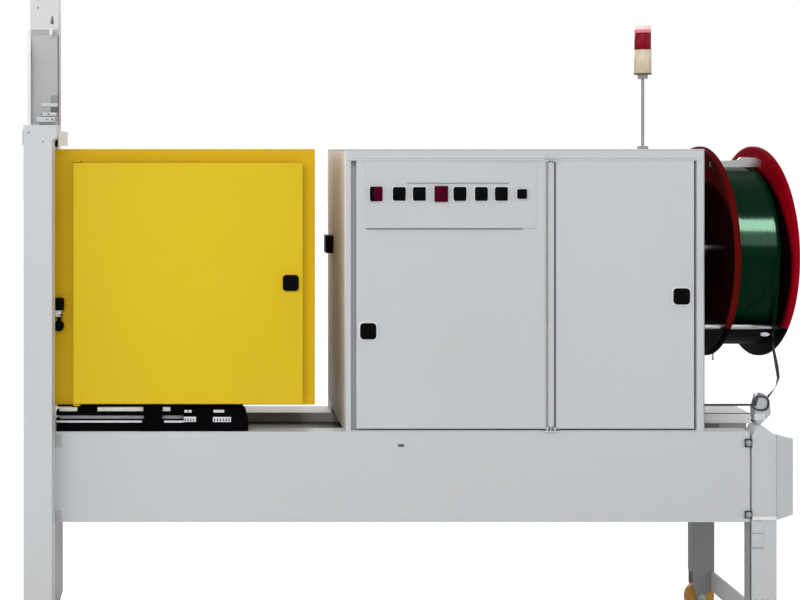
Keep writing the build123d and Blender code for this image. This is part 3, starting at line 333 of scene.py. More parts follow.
# Green strap on the reel: its turns lie side by side along X
coil = {"colour": (0.0010, 0.0190, 0.0066, 1), "edge": (0.0009, 0.0160, 0.0055, 1), "turn": 0.0165,
        "roughness": 0.13, "sheen": 0.05, "sheenTint": (0.55, 1.0, 0.72, 1)}
bandPitch = 0.314  # metres between a wave texture's bands at scale 1
paints["greenStrap"], tree = newPaint("greenStrap")
place = addNode(tree, "TexCoord", -1100, 0).outputs["Object"]
turns = addNode(tree, "TexWave", -900, 0, {
    "Vector": place, "Scale": bandPitch / coil["turn"], "Distortion": 0.25, "Detail Scale": 3},
    wave_type="BANDS", bands_direction="X")
seam = addNode(tree, "MapRange", -700, 0, {
    "Value": turns.outputs["Fac"], "From Min": 0, "From Max": 0.12}).outputs["Result"]
tone = addNode(tree, "Mix", -500, 150, {
    "Factor": seam, "A": coil["edge"], "B": coil["colour"]}, data_type="RGBA")
bump = addNode(tree, "Bump", -500, -200, {"Height": seam, "Strength": 0.012, "Distance": 0.0004})
feed(tree.nodes["Principled BSDF"], {
    "Base Color": tone.outputs["Result"], "Normal": bump.outputs["Normal"],
    "Roughness": coil["roughness"], "Specular IOR Level": coil["sheen"],
    "Specular Tint": coil["sheenTint"]})
print("finishes mixed:", len(paints))


# Which finish each CAD node wears, and how far its sharp edges are broken, in millimetres
finishes = {
    "greyEnamel": (1.6, """front_beam cross_members leg_front_right corner_covers
        arch_front_post arch_rear_post arch_sills arch_far_column
        arch_top_beam bottom_track cabinet_top cabinet_floor
        cabinet_right_wall cabinet_back cabinet_posts cabinet_door_left cabinet_door_right"""),
    "paleBlueBounceOffset": (1.6, "arch_cross_head"),
    "poleEnamel": (0.6, "signal_pole"),
    "guardWithPaintedShadeFoot": (1.2, "column_guard"),
    "shadedEnamel": (1.2, "arch_lower_column arch_upper_column"),
    "rearBeamPaintedLight": (1.2, "rear_beam"),
    "deepShade": (1.2, "leg_rear_right"),
    "trayPaintedShade": (1.2, "base_tray"),
    "wallPaintedLightAndShade": (1.2, "cabinet_left_wall"),
    "yellowEnamel": (1.6, "head_door"),
    "yellowFramePaintedShade": (1.4, "head_top_and_floor head_side_walls head_back head_front_frame"),
    "blackEnamel": (1.0, "slide_rails head_carriages"),
    "blackPlastic": (1.0, """side_socket panel_buttons latch_left latch_right head_latch
        head_switches corner_guides reel_drum"""),
    "panelFoil": (0.4, "control_panel"),
    "leftGuardLightAndShade": (0.6, "reel_guard_left"),
    "rightGuardLightAndShade": (0.6, "reel_guard_right"),
    "shroudEnamel": (0.6, "reel_lower_shroud"),
    "creamLens": (2.0, "signal_lamp_cream"),
    "redLens": (2.0, "signal_lamp_red"),
    "amberTyre": (3.0, "wheel_front wheel_rear"),
    "darkStrap": (0, "strap_run"),
    "greenStrap": (0, "strap_coil"),
    "paleSteel": (0.4, "slide_rods"),
    "rodSteel": (0.4, "reel_stays reel_shaft guide_roller"),
    "plateSteel": (0.6, "press_plate strap_guide"),
}
for finish, (edge, wearers) in finishes.items():
    for name in wearers.split():
        part = nodes[name]
        part.data.materials.clear()
        part.data.materials.append(paints[finish])
        if edge:
            weld = part.modifiers.new("weld", "WELD")
            weld.merge_threshold = 0.00001
            bevel = part.modifiers.new("brokenEdges", "BEVEL")
            bevel.width = edge / 1000
            bevel.segments = 2
            bevel.limit_method = "ANGLE"
            bevel.angle_limit = math.radians(35)
            bevel.harden_normals = True
print("CAD nodes painted")


# New pieces. Each is one mesh of simple shapes, made and worked with bmesh operators
toFront, toBack, upwards, alongX = (0, -1, 0), (0, 1, 0), (0, 0, 1), (1, 0, 0)
bedded = 0.0003  # how deep a piece sinks into the face that it is fixed to
smoothUnder = math.radians(38)


def bevelEdges(shape, edges, offset, segments=2):
    return bmesh.ops.bevel(shape, geom=edges, offset=offset, segments=segments, affect="EDGES",
                           profile=0.5, material=-1)


def block(shape, low, high, edge=0.0005, cornerAxis=None, corner=0.0, topShare=1.0):
    low, high = Vector(low), Vector(high)
    corners = bmesh.ops.create_cube(shape, size=1)["verts"]
    if topShare != 1:  # narrower towards its top
        top = [point for point in corners if point.co.z > 0]
        bmesh.ops.scale(shape, vec=(topShare, 1, 1), verts=top)
    bmesh.ops.scale(shape, vec=high - low, verts=corners)
    bmesh.ops.translate(shape, vec=(low + high) / 2, verts=corners)
    rim = list({line for point in corners for line in point.link_edges})
    if cornerAxis is not None:  # round the four corners that run along one axis
        long = [line for line in rim
                if abs((line.verts[0].co - line.verts[1].co).normalized()[cornerAxis]) > 0.9]
        made = bevelEdges(shape, long, corner, segments=5)
        faces = {face for point in made["verts"] for face in point.link_faces}
        rim = [line for line in {line for face in faces for line in face.edges}
               if line.is_manifold and line.calc_face_angle() > 0.9]
    if edge:
        bevelEdges(shape, rim, edge)


# A block on a face that looks to the front: its X, its Z, and how far it stands out
def plate(shape, face, x, z, proud, edge=0.0006, sunk=bedded, **form):
    block(shape, (x[0], face - proud, z[0]), (x[1], face + sunk, z[1]), edge, **form)


def rod(shape, start, end, radius, sides=24, edge=0.0004):
    start, end = Vector(start), Vector(end)
    along = end - start
    corners = bmesh.ops.create_cone(shape, cap_ends=True, segments=sides, radius1=radius,
                                    radius2=radius, depth=along.length)["verts"]
    turn = along.to_track_quat("Z", "Y").to_matrix()
    bmesh.ops.rotate(shape, cent=(0, 0, 0), matrix=turn, verts=corners)
    bmesh.ops.translate(shape, vec=(start + end) / 2, verts=corners)
    if edge:
        rims = [line for line in {line for point in corners for line in point.link_edges}
                if any(len(face.verts) > 4 for face in line.link_faces)]
        bevelEdges(shape, rims, edge)


def turned(shape, centre, axis, outline, steps=40):
    before = set(shape.verts)
    ring = [shape.verts.new((radius, 0, height)) for radius, height in outline]
    lines = [shape.edges.new((ring[i - 1], ring[i])) for i in range(len(ring))]
    bmesh.ops.spin(shape, geom=ring + lines, cent=(0, 0, 0), axis=(0, 0, 1),
                   angle=2 * math.pi, steps=steps, use_merge=True)
    made = [point for point in shape.verts if point not in before]
    turn = Vector(axis).to_track_quat("Z", "Y").to_matrix()
    bmesh.ops.rotate(shape, cent=(0, 0, 0), matrix=turn, verts=made)
    bmesh.ops.translate(shape, vec=centre, verts=made)
    bmesh.ops.remove_doubles(shape, verts=made, dist=0.000001)


def wire(shape, points, radius):
    curve = bpy.data.curves.new("wirePath", "CURVE")
    curve.dimensions = "3D"
    curve.resolution_u = 8
    curve.bevel_depth = radius
    curve.bevel_resolution = 3
    curve.use_fill_caps = True
    path = curve.splines.new("NURBS")
    path.points.add(len(points) - 1)
    for knot, place in zip(path.points, points):
        knot.co = (*place, 1)
    path.order_u = 3
    path.use_endpoint_u = True
    holder = bpy.data.objects.new("wirePath", curve)
    scene.collection.objects.link(holder)
    tube = bpy.data.meshes.new_from_object(holder)
    shape.from_mesh(tube)
    bpy.data.objects.remove(holder)
    bpy.data.curves.remove(curve)
    bpy.data.meshes.remove(tube)


def hexBolt(shape, seat, out, across=0.013):
    seat, out = Vector(seat), Vector(out)
    rise = across * 0.14
    rod(shape, seat - out * bedded, seat + out * rise, across * 0.92, edge=across * 0.03)
    rod(shape, seat + out * (rise - bedded), seat + out * (rise + across * 0.42),
        across / math.sqrt(3), sides=6, edge=across * 0.05)


def panScrew(shape, seat, out, radius):
    turned(shape, seat, out, [
        (0, -bedded), (radius, -bedded), (radius, radius * 0.18), (radius * 0.85, radius * 0.45),
        (radius * 0.5, radius * 0.6), (radius * 0.32, radius * 0.6), (radius * 0.3, radius * 0.2),
        (0, radius * 0.2)], steps=16)


# Screws along all four edges of a sheet at the back: counts and steps along X and Z
def screwsAllRound(shape, node, inset, counts, steps, radius=0.0040):
    low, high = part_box(node)
    for x in [low[0] + inset[0] + number * steps[0] for number in range(counts[0])]:
        for z in (low[2] + inset[1], high[2] - inset[1]):
            panScrew(shape, (x, high[1], z), toBack, radius)
    for z in [low[2] + inset[1] + number * steps[1] for number in range(1, counts[1] + 1)]:
        for x in (low[0] + inset[0], high[0] - inset[0]):
            panScrew(shape, (x, high[1], z), toBack, radius)


def finishPiece(name, shape, body, finish):
    bmesh.ops.recalc_face_normals(shape, faces=shape.faces[:])
    mesh = bpy.data.meshes.new(name)
    shape.to_mesh(mesh)
    shape.free()
    mesh.shade_smooth()
    mesh.set_sharp_from_angle(angle=smoothUnder)
    mesh.materials.append(paints[finish])
    piece = bpy.data.objects.new(name, mesh)
    scene.collection.objects.link(piece)
    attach(piece, body)
    return piece


def blockPiece(name, low, high, body, finish, edge=0.0005):
    shape = bmesh.new()
    block(shape, low, high, edge)
    finishPiece(name, shape, body, finish)


def lowSide(node, axis):
    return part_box(node)[0][axis]


def highSide(node, axis):
    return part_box(node)[1][axis]


# Panel of the left door: white frames and caps on the eight squares, and its rolled edges
panelFront = lowSide("control_panel", 1)
squareFront = lowSide("panel_buttons", 1)
doorFront = lowSide("cabinet_door_left", 1)
squares = {
    "height": 1.188, "frame": (0.0356, 0.0396), "frameT": 0.0012, "cap": (0.0310, 0.0350),
    "capT": 0.0024, "fieldRim": 0.0035, "fieldT": 0.0004,
    "small": 0.9,  # a cap below this share has a smaller frame too
    # where along X, width and height as shares of the usual cap, finish
    "row": [
        (0.5390, 1.00, 1.06, "redCap"), (0.5970, 0.96, 0.98, "blackPlastic"),
        (0.6470, 0.98, 0.98, "blackPlastic"), (0.7010, 1.10, 1.14, "redCap"),
        (0.7480, 0.96, 1.00, "blackPlastic"), (0.8010, 0.97, 0.99, "blackPlastic"),
        (0.8520, 0.97, 0.98, "blackPlastic"), (0.9030, 0.78, 0.70, "blackPlastic"),
    ],
}


def aroundSquare(x, size, shares, inset=0):
    halfW, halfH = (length / 2 * share - inset for length, share in zip(size, shares))
    return (x - halfW, x + halfW), (squares["height"] - halfH, squares["height"] + halfH)


frames = bmesh.new()
caps = {"redCap": bmesh.new(), "blackPlastic": bmesh.new()}
for x, wide, tall, finish in squares["row"]:
    frameShares = [share if share < squares["small"] else 1 for share in (wide, tall)]
    plate(frames, panelFront, *aroundSquare(x, squares["frame"], frameShares), squares["frameT"],
          edge=0.0004, cornerAxis=1, corner=0.003)
    plate(caps[finish], squareFront, *aroundSquare(x, squares["cap"], (wide, tall)), squares["capT"],
          edge=0.0008, sunk=0.0006, cornerAxis=1, corner=0.0022)
    # a shallow field on the cap's face
    plate(caps[finish], squareFront - squares["capT"],
          *aroundSquare(x, squares["cap"], (wide, tall), squares["fieldRim"]), squares["fieldT"],
          edge=0.0003, cornerAxis=1, corner=0.0015)
finishPiece("buttonFrames", frames, "door_left", "whiteBezel")
finishPiece("redCaps", caps["redCap"], "door_left", "redCap")
finishPiece("blackCaps", caps["blackPlastic"], "door_left", "blackPlastic")
capShade = {"x": (0.5236, 0.5330), "z": (1.1698, 1.2062)}  # the first square is lit on two thirds only
blockPiece("firstCapShade", (capShade["x"][0], squareFront - 0.0030, capShade["z"][0]),
           (capShade["x"][1], squareFront - 0.0022, capShade["z"][1]),
           "door_left", "blackPlastic", 0.0003)

panelEdge = {"left": 0.514, "right": 0.905, "foot": 1.1015, "footLine": 0.0014,
             "rowLeft": 0.6165, "rowRight": 0.8715, "rowTop": 1.2138, "rowLine": 0.0016,
             # left, right, height, radius
             "lips": ((0.516, 0.933, 1.1027, 0.0012), (0.700, 0.936, 1.2668, 0.0010))}
# Dark lines: painted shadows under the panel's foot and over the row of squares
panelShadowLines = bmesh.new()
block(panelShadowLines, (panelEdge["left"], panelFront - 0.0002, panelEdge["foot"] - panelEdge["footLine"]),
      (panelEdge["right"], doorFront + bedded, panelEdge["foot"]), edge=0)
plate(panelShadowLines, panelFront, (panelEdge["rowLeft"], panelEdge["rowRight"]),
      (panelEdge["rowTop"], panelEdge["rowTop"] + panelEdge["rowLine"]), 0.0006, edge=0.0002)
finishPiece("panelSeams", panelShadowLines, "door_left", "greySeam")
lips = bmesh.new()
for left, right, z, radius in panelEdge["lips"]:
    rod(lips, (left, panelFront + 0.0002, z), (right, panelFront + 0.0002, z), radius, sides=12)
finishPiece("panelLips", lips, "door_left", "panelFoil")
print("panel dressed")


# Locks: a pale seat round each black square, with a slot for the key
locks = [
    # name, body, lock node, finish and slot of its seat
    ("leftLock", "door_left", "latch_left", "whiteBezel", "panel_face"),
    ("rightLock", "door_right", "latch_right", "whiteBezel", "panel_face"),
    ("headLock", "head_door", "head_latch", "yellowEnamel", "yellow_paint"),
]
lockSeat = {"reach": 0.0042, "thickness": 0.0014, "corner": 0.011}
keyhole = {"radius": 0.0085, "rim": 0.0012, "slot": (0.0016, 0.0100), "slotT": 0.0009}
for name, body, node, finish, slotName in locks:
    low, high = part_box(node)
    reach = lockSeat["reach"]
    seat = bmesh.new()
    plate(seat, high[1], (low[0] - reach, high[0] + reach), (low[2] - reach, high[2] + reach),
          lockSeat["thickness"], cornerAxis=1, corner=lockSeat["corner"])
    finishPiece(name + "Seat", seat, body, finish)
    middle = ((low[0] + high[0]) / 2, low[1], (low[2] + high[2]) / 2)
    barrel = bmesh.new()
    turned(barrel, middle, toFront, [
        (0, -0.0004), (keyhole["radius"], -0.0004), (keyhole["radius"], keyhole["rim"]),
        (keyhole["radius"] - 0.0012, keyhole["rim"]), (keyhole["radius"] - 0.0016, 0.0003),
        (0, 0.0003)], steps=36)
    halfSlot = [length / 2 for length in keyhole["slot"]]
    plate(barrel, middle[1], (middle[0] - halfSlot[0], middle[0] + halfSlot[0]),
          (middle[2] - halfSlot[1], middle[2] + halfSlot[1]), keyhole["slotT"], edge=0.0002, sunk=0.0002)
    finishPiece(name + "Barrel", barrel, body, "blackPlastic")
print("locks seated")


# Arch: what shows on the upper column, the guard and the post
columnFront = lowSide("arch_upper_column", 1)
columnRight = highSide("arch_upper_column", 0)
guardFront = lowSide("column_guard", 1)
postFront = lowSide("arch_front_post", 1)
clamps = [
    # name, slot, finish, and each plate's X, Z and thickness
    ("columnClampPale", "light_paint", "greyEnamel", [
        ((-0.3197, -0.2762), (1.4118, 1.4212), 0.004), ((-0.3197, -0.2793), (1.3875, 1.3962), 0.006),
        ((-0.3313, -0.2820), (1.3715, 1.3845), 0.008)]),
    ("columnClampMid", "black_plastic", "midGrey", [((-0.2944, -0.2762), (1.4215, 1.4412), 0.003)]),
    ("columnClampDark", "black_plastic", "greySeam", [
        ((-0.2952, -0.2762), (1.3977, 1.4096), 0.003), ((-0.3240, -0.2820), (1.3634, 1.3662), 0.004)]),
    ("columnClampPatch", "light_paint", "shadedEnamel", [
        ((-0.2972, -0.2762), (1.5340, 1.5930), 0.0012)]),
]
for name, slotName, finish, plates in clamps:
    clamp = bmesh.new()
    for x, z, thick in plates:
        plate(clamp, columnFront, x, z, thick)
    finishPiece(name, clamp, "frame", finish)
clampScrews = bmesh.new()
for x, z, out in ((-0.3185, 1.3920, 0.006), (-0.3010, 1.3920, 0.006), (-0.3050, 1.3780, 0.008),
                  (-0.2905, 1.3780, 0.008)):
    panScrew(clampScrews, (x, columnFront - out, z), toFront, 0.0022)
finishPiece("clampScrews", clampScrews, "frame", "greySeam")

# Black strip down the column's right corner, painted shade of the column's right side, and a pale rim down
# the guard's left side
columnShadeZ = (1.3592, 1.5998)
rimX, rimZ = (-0.3548, -0.3458), (1.3600, 1.6125)
blockPiece("columnEdging", (columnRight - 0.0012, columnFront - 0.0010, columnShadeZ[0]),
           (columnRight + 0.0004, columnFront + 0.0050, columnShadeZ[1]),
           "frame", "blackPlastic", 0.0003)
blockPiece("guardRim", (rimX[0], guardFront - 0.0006, rimZ[0]), (rimX[1], guardFront + bedded, rimZ[1]),
           "frame", "paleEnamel", 0.0002)

fairing = {"left": -0.3455, "foot": 1.5200, "top": 1.6000}
slope = bmesh.new()  # runs from the guard's foot back to the column
block(slope, (fairing["left"], guardFront + 0.0005, fairing["foot"]),
      (columnRight - 0.0014, columnFront + 0.0005, fairing["top"]))
for point in slope.verts:
    if point.co.z < fairing["foot"] + 0.010 and point.co.y < columnFront - 0.005:
        point.co.y = columnFront - 0.0004
finishPiece("columnFairing", slope, "frame", "shadedEnamel")

bumper = {"postRight": -0.263, "thickness": 0.0057, "y": (-0.2350, -0.2060), "z": (1.3055, 1.3330)}
blockPiece("postBumper", (bumper["postRight"] - bedded, bumper["y"][0], bumper["z"][0]),
           (bumper["postRight"] + bumper["thickness"], bumper["y"][1], bumper["z"][1]),
           "frame", "blackPlastic", 0.0010)

columnPin = {"x": -0.2918, "stands": 0.0044,
             # low Z, high Z, radius, sides, edge
             "parts": ((1.5985, 1.6160, 0.0047, 24, 0.0008), (1.5935, 1.5962, 0.0038, 24, 0.0005),
                       (1.5960, 1.5988, 0.0014, 12, 0))}
pin = bmesh.new()
for z0, z1, radius, sides, edge in columnPin["parts"]:
    x, y = columnPin["x"], guardFront - columnPin["stands"]
    rod(pin, (x, y, z0), (x, y, z1), radius, sides, edge)
finishPiece("columnPin", pin, "frame", "whiteBezel")

marks = bmesh.new()
plate(marks, guardFront, (-0.2945, -0.2850), (1.6288, 1.6498), 0.0006, edge=0.0003, topShare=0.35)
for x, face, z, radius in ((-0.3271, guardFront, 1.6713, 0.0024), (-0.3203, postFront, 1.3401, 0.0020),
                           (-0.2853, postFront, 1.3179, 0.0020)):
    panScrew(marks, (x, face, z), toFront, radius)
finishPiece("archMarks", marks, "frame", "greySeam")
print("arch dressed")


# Slide: bright strips and windows on the black parts under the head, and a painted glint along the rail's
# top edge
railFront = lowSide("slide_rails", 1)
slideStrips = [
    # name, finish, how far they stand out, and each strip's X and Z
    ("slideWindowsRail", "paleSteel", 0.0012, [
        ((0.0585, 0.0890), (0.6168, 0.6295)), ((0.1316, 0.1766), (0.6164, 0.6290))]),
    ("slideWindowsEnd", "creamZinc", 0.0012, [
        ((0.0600, 0.0680), (0.6400, 0.6465)), ((0.0700, 0.0780), (0.6400, 0.6465)),
        ((0.1328, 0.1595), (0.6400, 0.6468))]),
    # a painted glint along the rail's top edge, under the rod
    ("slideTrim", "paleSteel", 0.0004, [
        ((-0.2605, -0.0462), (0.6150, 0.6199)), ((0.0090, 0.0580), (0.6150, 0.6199))]),
]
for name, finish, proud, places in slideStrips:
    strips = bmesh.new()
    for x, z in places:
        plate(strips, railFront, x, z, proud, edge=proud / 3)
    finishPiece(name, strips, "frame", finish)
teeth = {"z": (0.6190, 0.6262), "width": 0.0036,
         # first X, count, step
         "rows": ((0.0600, 4, 0.0070), (0.1340, 6, 0.0072))}
dashes = bmesh.new()
for first, count, step in teeth["rows"]:
    for number in range(count):
        x = first + number * step
        plate(dashes, railFront, (x, x + teeth["width"]), teeth["z"], 0.0018, edge=0.0003,
              sunk=-0.0009, topShare=0.4)
finishPiece("slideTeeth", dashes, "frame", "blackPlastic")
spacerZ = (0.6427, 0.6525)  # from the rail's bar up to the head
spacers = bmesh.new()
for x in ((-0.2535, -0.2085), (-0.1580, -0.0430), (0.0055, 0.0249)):
    plate(spacers, railFront, x, spacerZ, -0.0010, sunk=0.0120)
finishPiece("headSpacers", spacers, "head", "creamZinc")
skirtLow, skirtHigh = (-0.2610, -0.1975, 0.6500), (-0.2100, -0.1930, 0.6552)  # at the head's foot
blockPiece("headSkirt", skirtLow, skirtHigh, "head", "blackEnamel", 0.0004)

# Head's edge strip: the pale link between the switches, the upper one's pad and the round one
switchFront = lowSide("head_switches", 1)
switches = {"linkX": (-0.2640, -0.2500), "linkZ": (0.8790, 0.8945),
            "padX": (-0.2665, -0.2425), "padZ": (0.8960, 0.9255),
            "slotX": (-0.2560, -0.2455), "slotZ": (0.8822, 0.8850),
            "roundX": -0.2560, "roundZ": 0.8560, "roundRadius": 0.0135}
blockPiece("switchLink", (switches["linkX"][0], switchFront - 0.0010, switches["linkZ"][0]),
           (switches["linkX"][1], switchFront + 0.0080, switches["linkZ"][1]),
           "head", "whiteBezel", 0.0010)
pads = bmesh.new()
turned(pads, (switches["roundX"], switchFront + 0.0010, switches["roundZ"]), toFront, [
    (0, -0.006), (switches["roundRadius"], -0.006), (switches["roundRadius"], 0.0015),
    (switches["roundRadius"] - 0.0015, 0.0030), (0, 0.0034)])
plate(pads, switchFront, switches["padX"], switches["padZ"], 0.0022, edge=0.0016, sunk=0.0060)
plate(pads, switchFront, switches["slotX"], switches["slotZ"], 0.0018, edge=0.0004, sunk=0.0050)
finishPiece("switchPads", pads, "head", "blackPlastic")
print("slide and head dressed")


# Base: plates and brackets at the beam's ends, and its small tag
beamFront = lowSide("front_beam", 1)
endPlates = bmesh.new()
for z in ((0.5550, 0.5875), (0.3690, 0.3955)):
    plate(endPlates, beamFront, (-0.2627, -0.2467), z, 0.0022)
finishPiece("beamEndPlates", endPlates, "frame", "shadedEnamel")
tag = {"x": (0.5940, 0.6090), "z": (0.5555, 0.5625), "first": 0.5955, "step": 0.0045,
       "bar": 0.0030, "barZ": (0.5570, 0.5610)}
beamTag = bmesh.new()
plate(beamTag, beamFront, tag["x"], tag["z"], 0.0010, edge=0.0003)
for number in range(3):
    x = tag["first"] + number * tag["step"]
    plate(beamTag, beamFront, (x, x + tag["bar"]), tag["barZ"], 0.0014, edge=0.0002, sunk=0)
finishPiece("beamTag", beamTag, "frame", "greySeam")
corners = {"x": (1.4600, 1.4785), "thickness": 0.0050, "bolt": 1.4685,
           "heights": ((0.5550, 0.5760), (0.3775, 0.3960))}
blackBrackets = bmesh.new()
brightHeads = bmesh.new()
for z in corners["heights"]:
    plate(blackBrackets, beamFront, corners["x"], z, corners["thickness"], edge=0.0012)
    hexBolt(brightHeads, (corners["bolt"], beamFront - corners["thickness"], sum(z) / 2), toFront, 0.008)
finishPiece("cornerBrackets", blackBrackets, "frame", "blueBlack")
finishPiece("cornerBracketBolts", brightHeads, "frame", "boltSteel")
print("base dressed")


# Signal tower: a ring at the lenses' foot, a pink band, a seam, and the screws of the pole's foot
towerX = (lowSide("signal_pole", 0) + highSide("signal_pole", 0)) / 2
towerRings = {
    # name: finish, slot, radius, low Z, high Z
    "towerFootRing": ("brownRing", "black_plastic", 0.0235, 1.4982, 1.5020),
    "towerPinkBand": ("pinkBand", "red_lens", 0.0220, 1.6093, 1.6175),
    "towerMidSeam": ("brownRing", "cream_lens", 0.0227, 1.5634, 1.5646),
}
for name, (finish, slotName, radius, z0, z1) in towerRings.items():
    ring = bmesh.new()
    turned(ring, (towerX, 0, z0), upwards, [
        (radius - 0.004, 0), (radius - 0.0006, 0), (radius, 0.0006), (radius, z1 - z0 - 0.0006),
        (radius - 0.0006, z1 - z0), (radius - 0.004, z1 - z0)], steps=64)
    finishPiece(name, ring, "frame", finish)
towerFoot = {"z": 1.3060, "circle": 0.0100}
footScrews = bmesh.new()
for angle in [math.radians(45 + 90 * turnBy) for turnBy in range(4)]:
    panScrew(footScrews, (towerX + towerFoot["circle"] * math.cos(angle),
                          towerFoot["circle"] * math.sin(angle), towerFoot["z"]), upwards, 0.0018)
finishPiece("towerScrews", footScrews, "frame", "boltSteel")
print("signal tower dressed")


# Cabinet: a pale seal in the gap over the doors, the hinges' knuckles, and the back's screws
seal = {"left": 0.4665, "right": 1.3555, "height": 0.0046,
        "top": lowSide("cabinet_top", 2) - 0.0205}
blockPiece("doorSeal", (seal["left"], doorFront + 0.0035, seal["top"] - seal["height"]),
           (seal["right"], doorFront + 0.0230, seal["top"]), "frame", "greyEnamel", 0.0004)
hinges = {
    # name: body, where along X, radius, finish
    "leftKnuckles": ("door_left", 0.9665, 0.0030, "midGrey"),
    "rightKnuckles": ("door_right", 0.9865, 0.0018, "greySeam"),
}
knuckles = {"from": 0.6040, "to": 1.2680, "count": 16, "gap": 0.0006, "y": -0.2300}
step = (knuckles["to"] - knuckles["from"]) / knuckles["count"]
for name, (body, x, radius, finish) in hinges.items():
    barrel = bmesh.new()
    for number in range(knuckles["count"]):
        z = knuckles["from"] + number * step
        rod(barrel, (x, knuckles["y"], z), (x, knuckles["y"], z + step - knuckles["gap"]),
            radius, sides=16, edge=0.0003)
    finishPiece(name, barrel, body, finish)
backScrews = bmesh.new()
screwsAllRound(backScrews, "cabinet_back", (0.018, 0.014), (7, 3), (0.144, 0.168))
finishPiece("backScrews", backScrews, "frame", "boltSteel")
print("cabinet dressed")


# Wound strap: the coil's own turns, side by side, in place of the plain cylinder
woundLow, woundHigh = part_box("strap_coil")
wound = {"turns": 6, "groove": 0.00004, "endGroove": 0.00016, "grooveWidth": 0.0006, "steps": 192,
         "core": 0.1002}
reelRadius = (woundHigh[2] - woundLow[2]) / 2
coilWidth = woundHigh[0] - woundLow[0]
turnWidth = coilWidth / wound["turns"]
outline = [(wound["core"], 0)]
for number in range(wound["turns"]):
    start = number * turnWidth
    end = start + turnWidth
    outline += [
        (reelRadius - wound["groove" if number else "endGroove"], start),
        (reelRadius, start + wound["grooveWidth"]), (reelRadius, end - wound["grooveWidth"])]
outline += [(reelRadius - wound["endGroove"], coilWidth), (wound["core"], coilWidth)]
coilShape = bmesh.new()
turned(coilShape, (woundLow[0], 0, reelHeight), alongX, outline, steps=wound["steps"])
woundStrap = finishPiece("woundStrap", coilShape, "reel", "greenStrap")
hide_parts("strap_coil")
for lampName in studio["onlyOnReel"]:
    shines = bpy.data.objects[lampName].light_linking.receiver_collection
    shines.objects.link(woundStrap)

# Reel: nuts on the shaft and the tie rods, a drop on the shroud, and a hanging pin
shaftEnd = highSide("reel_shaft", 0)
tieRods = {"end": 1.5815, "y": 0.175, "z": 0.849}
nuts = bmesh.new()
rod(nuts, (shaftEnd - 0.0005, 0, reelHeight), (shaftEnd + 0.0010, 0, reelHeight), 0.0120, edge=0.0003)
hexBolt(nuts, (highSide("reel_guard_right", 0) - 0.0215, 0, reelHeight), alongX, 0.036)
for side in (-1, 1):
    for x0, x1, radius, sides, edge in ((-0.0010, 0.0012, 0.0100, 24, 0.0003),
                                        (0.0010, 0.0058, 0.0086, 6, 0.0005)):
        rod(nuts, (tieRods["end"] + x0, side * tieRods["y"], tieRods["z"]),
            (tieRods["end"] + x1, side * tieRods["y"], tieRods["z"]), radius, sides, edge)
finishPiece("reelNuts", nuts, "frame", "boltSteel")
studPlace = (1.5200, -0.1785, 0.8300)
drop = bmesh.new()
turned(drop, studPlace, alongX, [
    (0, 0), (0.0032, 0.0018), (0.0052, 0.0070), (0.0056, 0.0130), (0.0046, 0.0190),
    (0.0024, 0.0236), (0, 0.0250)], steps=28)
finishPiece("shroudStud", drop, "frame", "paleSteel")
hanging = {"x": 1.4380, "y": -0.0760, "foot": 0.7490, "neck": 0.7540, "top": 0.7900}
hangingPin = bmesh.new()
rod(hangingPin, (hanging["x"], hanging["y"], hanging["neck"]),
    (hanging["x"], hanging["y"], hanging["top"]), 0.0019, sides=12)
turned(hangingPin, (hanging["x"], hanging["y"], hanging["foot"]), upwards, [
    (0, 0), (0.0026, 0.0006), (0.0036, 0.0028), (0.0030, 0.0052), (0, 0.0062)], steps=20)
finishPiece("hangingPin", hangingPin, "frame", "boltSteel")
print("reel dressed")


# Strap guide: a loop of dark wire whose tail runs to the cabinet's wall
wallRight = highSide("cabinet_right_wall", 0)
loopFace = lowSide("strap_guide", 1) - 0.0030
loopWire = {
    "radius": 0.0022,
    # X, Z and how far behind the loop's face
    "knots": [
        (wallRight - 0.0010, 0.6562, 0), (1.4000, 0.6562, 0), (1.4600, 0.6562, 0),
        (1.4860, 0.6568, 0), (1.4915, 0.6480, 0), (1.5030, 0.6430, 0), (1.5200, 0.6430, 0),
        (1.5290, 0.6520, 0), (1.5290, 0.6700, 0), (1.5190, 0.6775, 0), (1.5000, 0.6775, 0),
        (1.4915, 0.6700, 0), (1.4935, 0.6590, 0.0020)],
}
guideLoop = bmesh.new()
wire(guideLoop, [(x, loopFace + behind, z) for x, z, behind in loopWire["knots"]], loopWire["radius"])
finishPiece("guideLoop", guideLoop, "frame", "blueBlack")
blockPiece("guideFoot", (1.4935, loopFace + 0.0021, 0.6180), (1.5210, loopFace + 0.0033, 0.6340),
           "frame", "paleSteel")

# Shelf rail behind the strap, on the rear beam, with a dark plate below it
rearFront = lowSide("rear_beam", 1)
shelf = {"left": wallRight + 0.0005, "right": 1.5800, "front": 0.0330, "foot": 0.5630, "top": 0.5900,
         "sheet": 0.0030, "innerRight": 1.4700, "apronRight": 1.5700, "apronFoot": 0.5400}
rail = bmesh.new()
block(rail, (shelf["left"], shelf["front"], shelf["foot"]),
      (shelf["right"], shelf["front"] + shelf["sheet"], shelf["top"]), edge=0.0006)
block(rail, (shelf["left"], shelf["front"], shelf["top"] - shelf["sheet"]),
      (shelf["right"], rearFront + 0.0080, shelf["top"]), edge=0.0006)
block(rail, (shelf["left"], rearFront - shelf["sheet"], shelf["foot"] - 0.0300),
      (shelf["innerRight"], rearFront + bedded, shelf["top"] - 0.0010), edge=0.0006)
finishPiece("shelfRail", rail, "frame", "paleEnamel")
blockPiece("shelfApron", (shelf["left"], shelf["front"] + 0.0035, shelf["apronFoot"]),
           (shelf["apronRight"], shelf["front"] + 0.0055, shelf["foot"] + 0.0040),
           "frame", "midGrey")
apronX, apronZ = (1.4480, 1.4960), (0.5440, 0.5600)
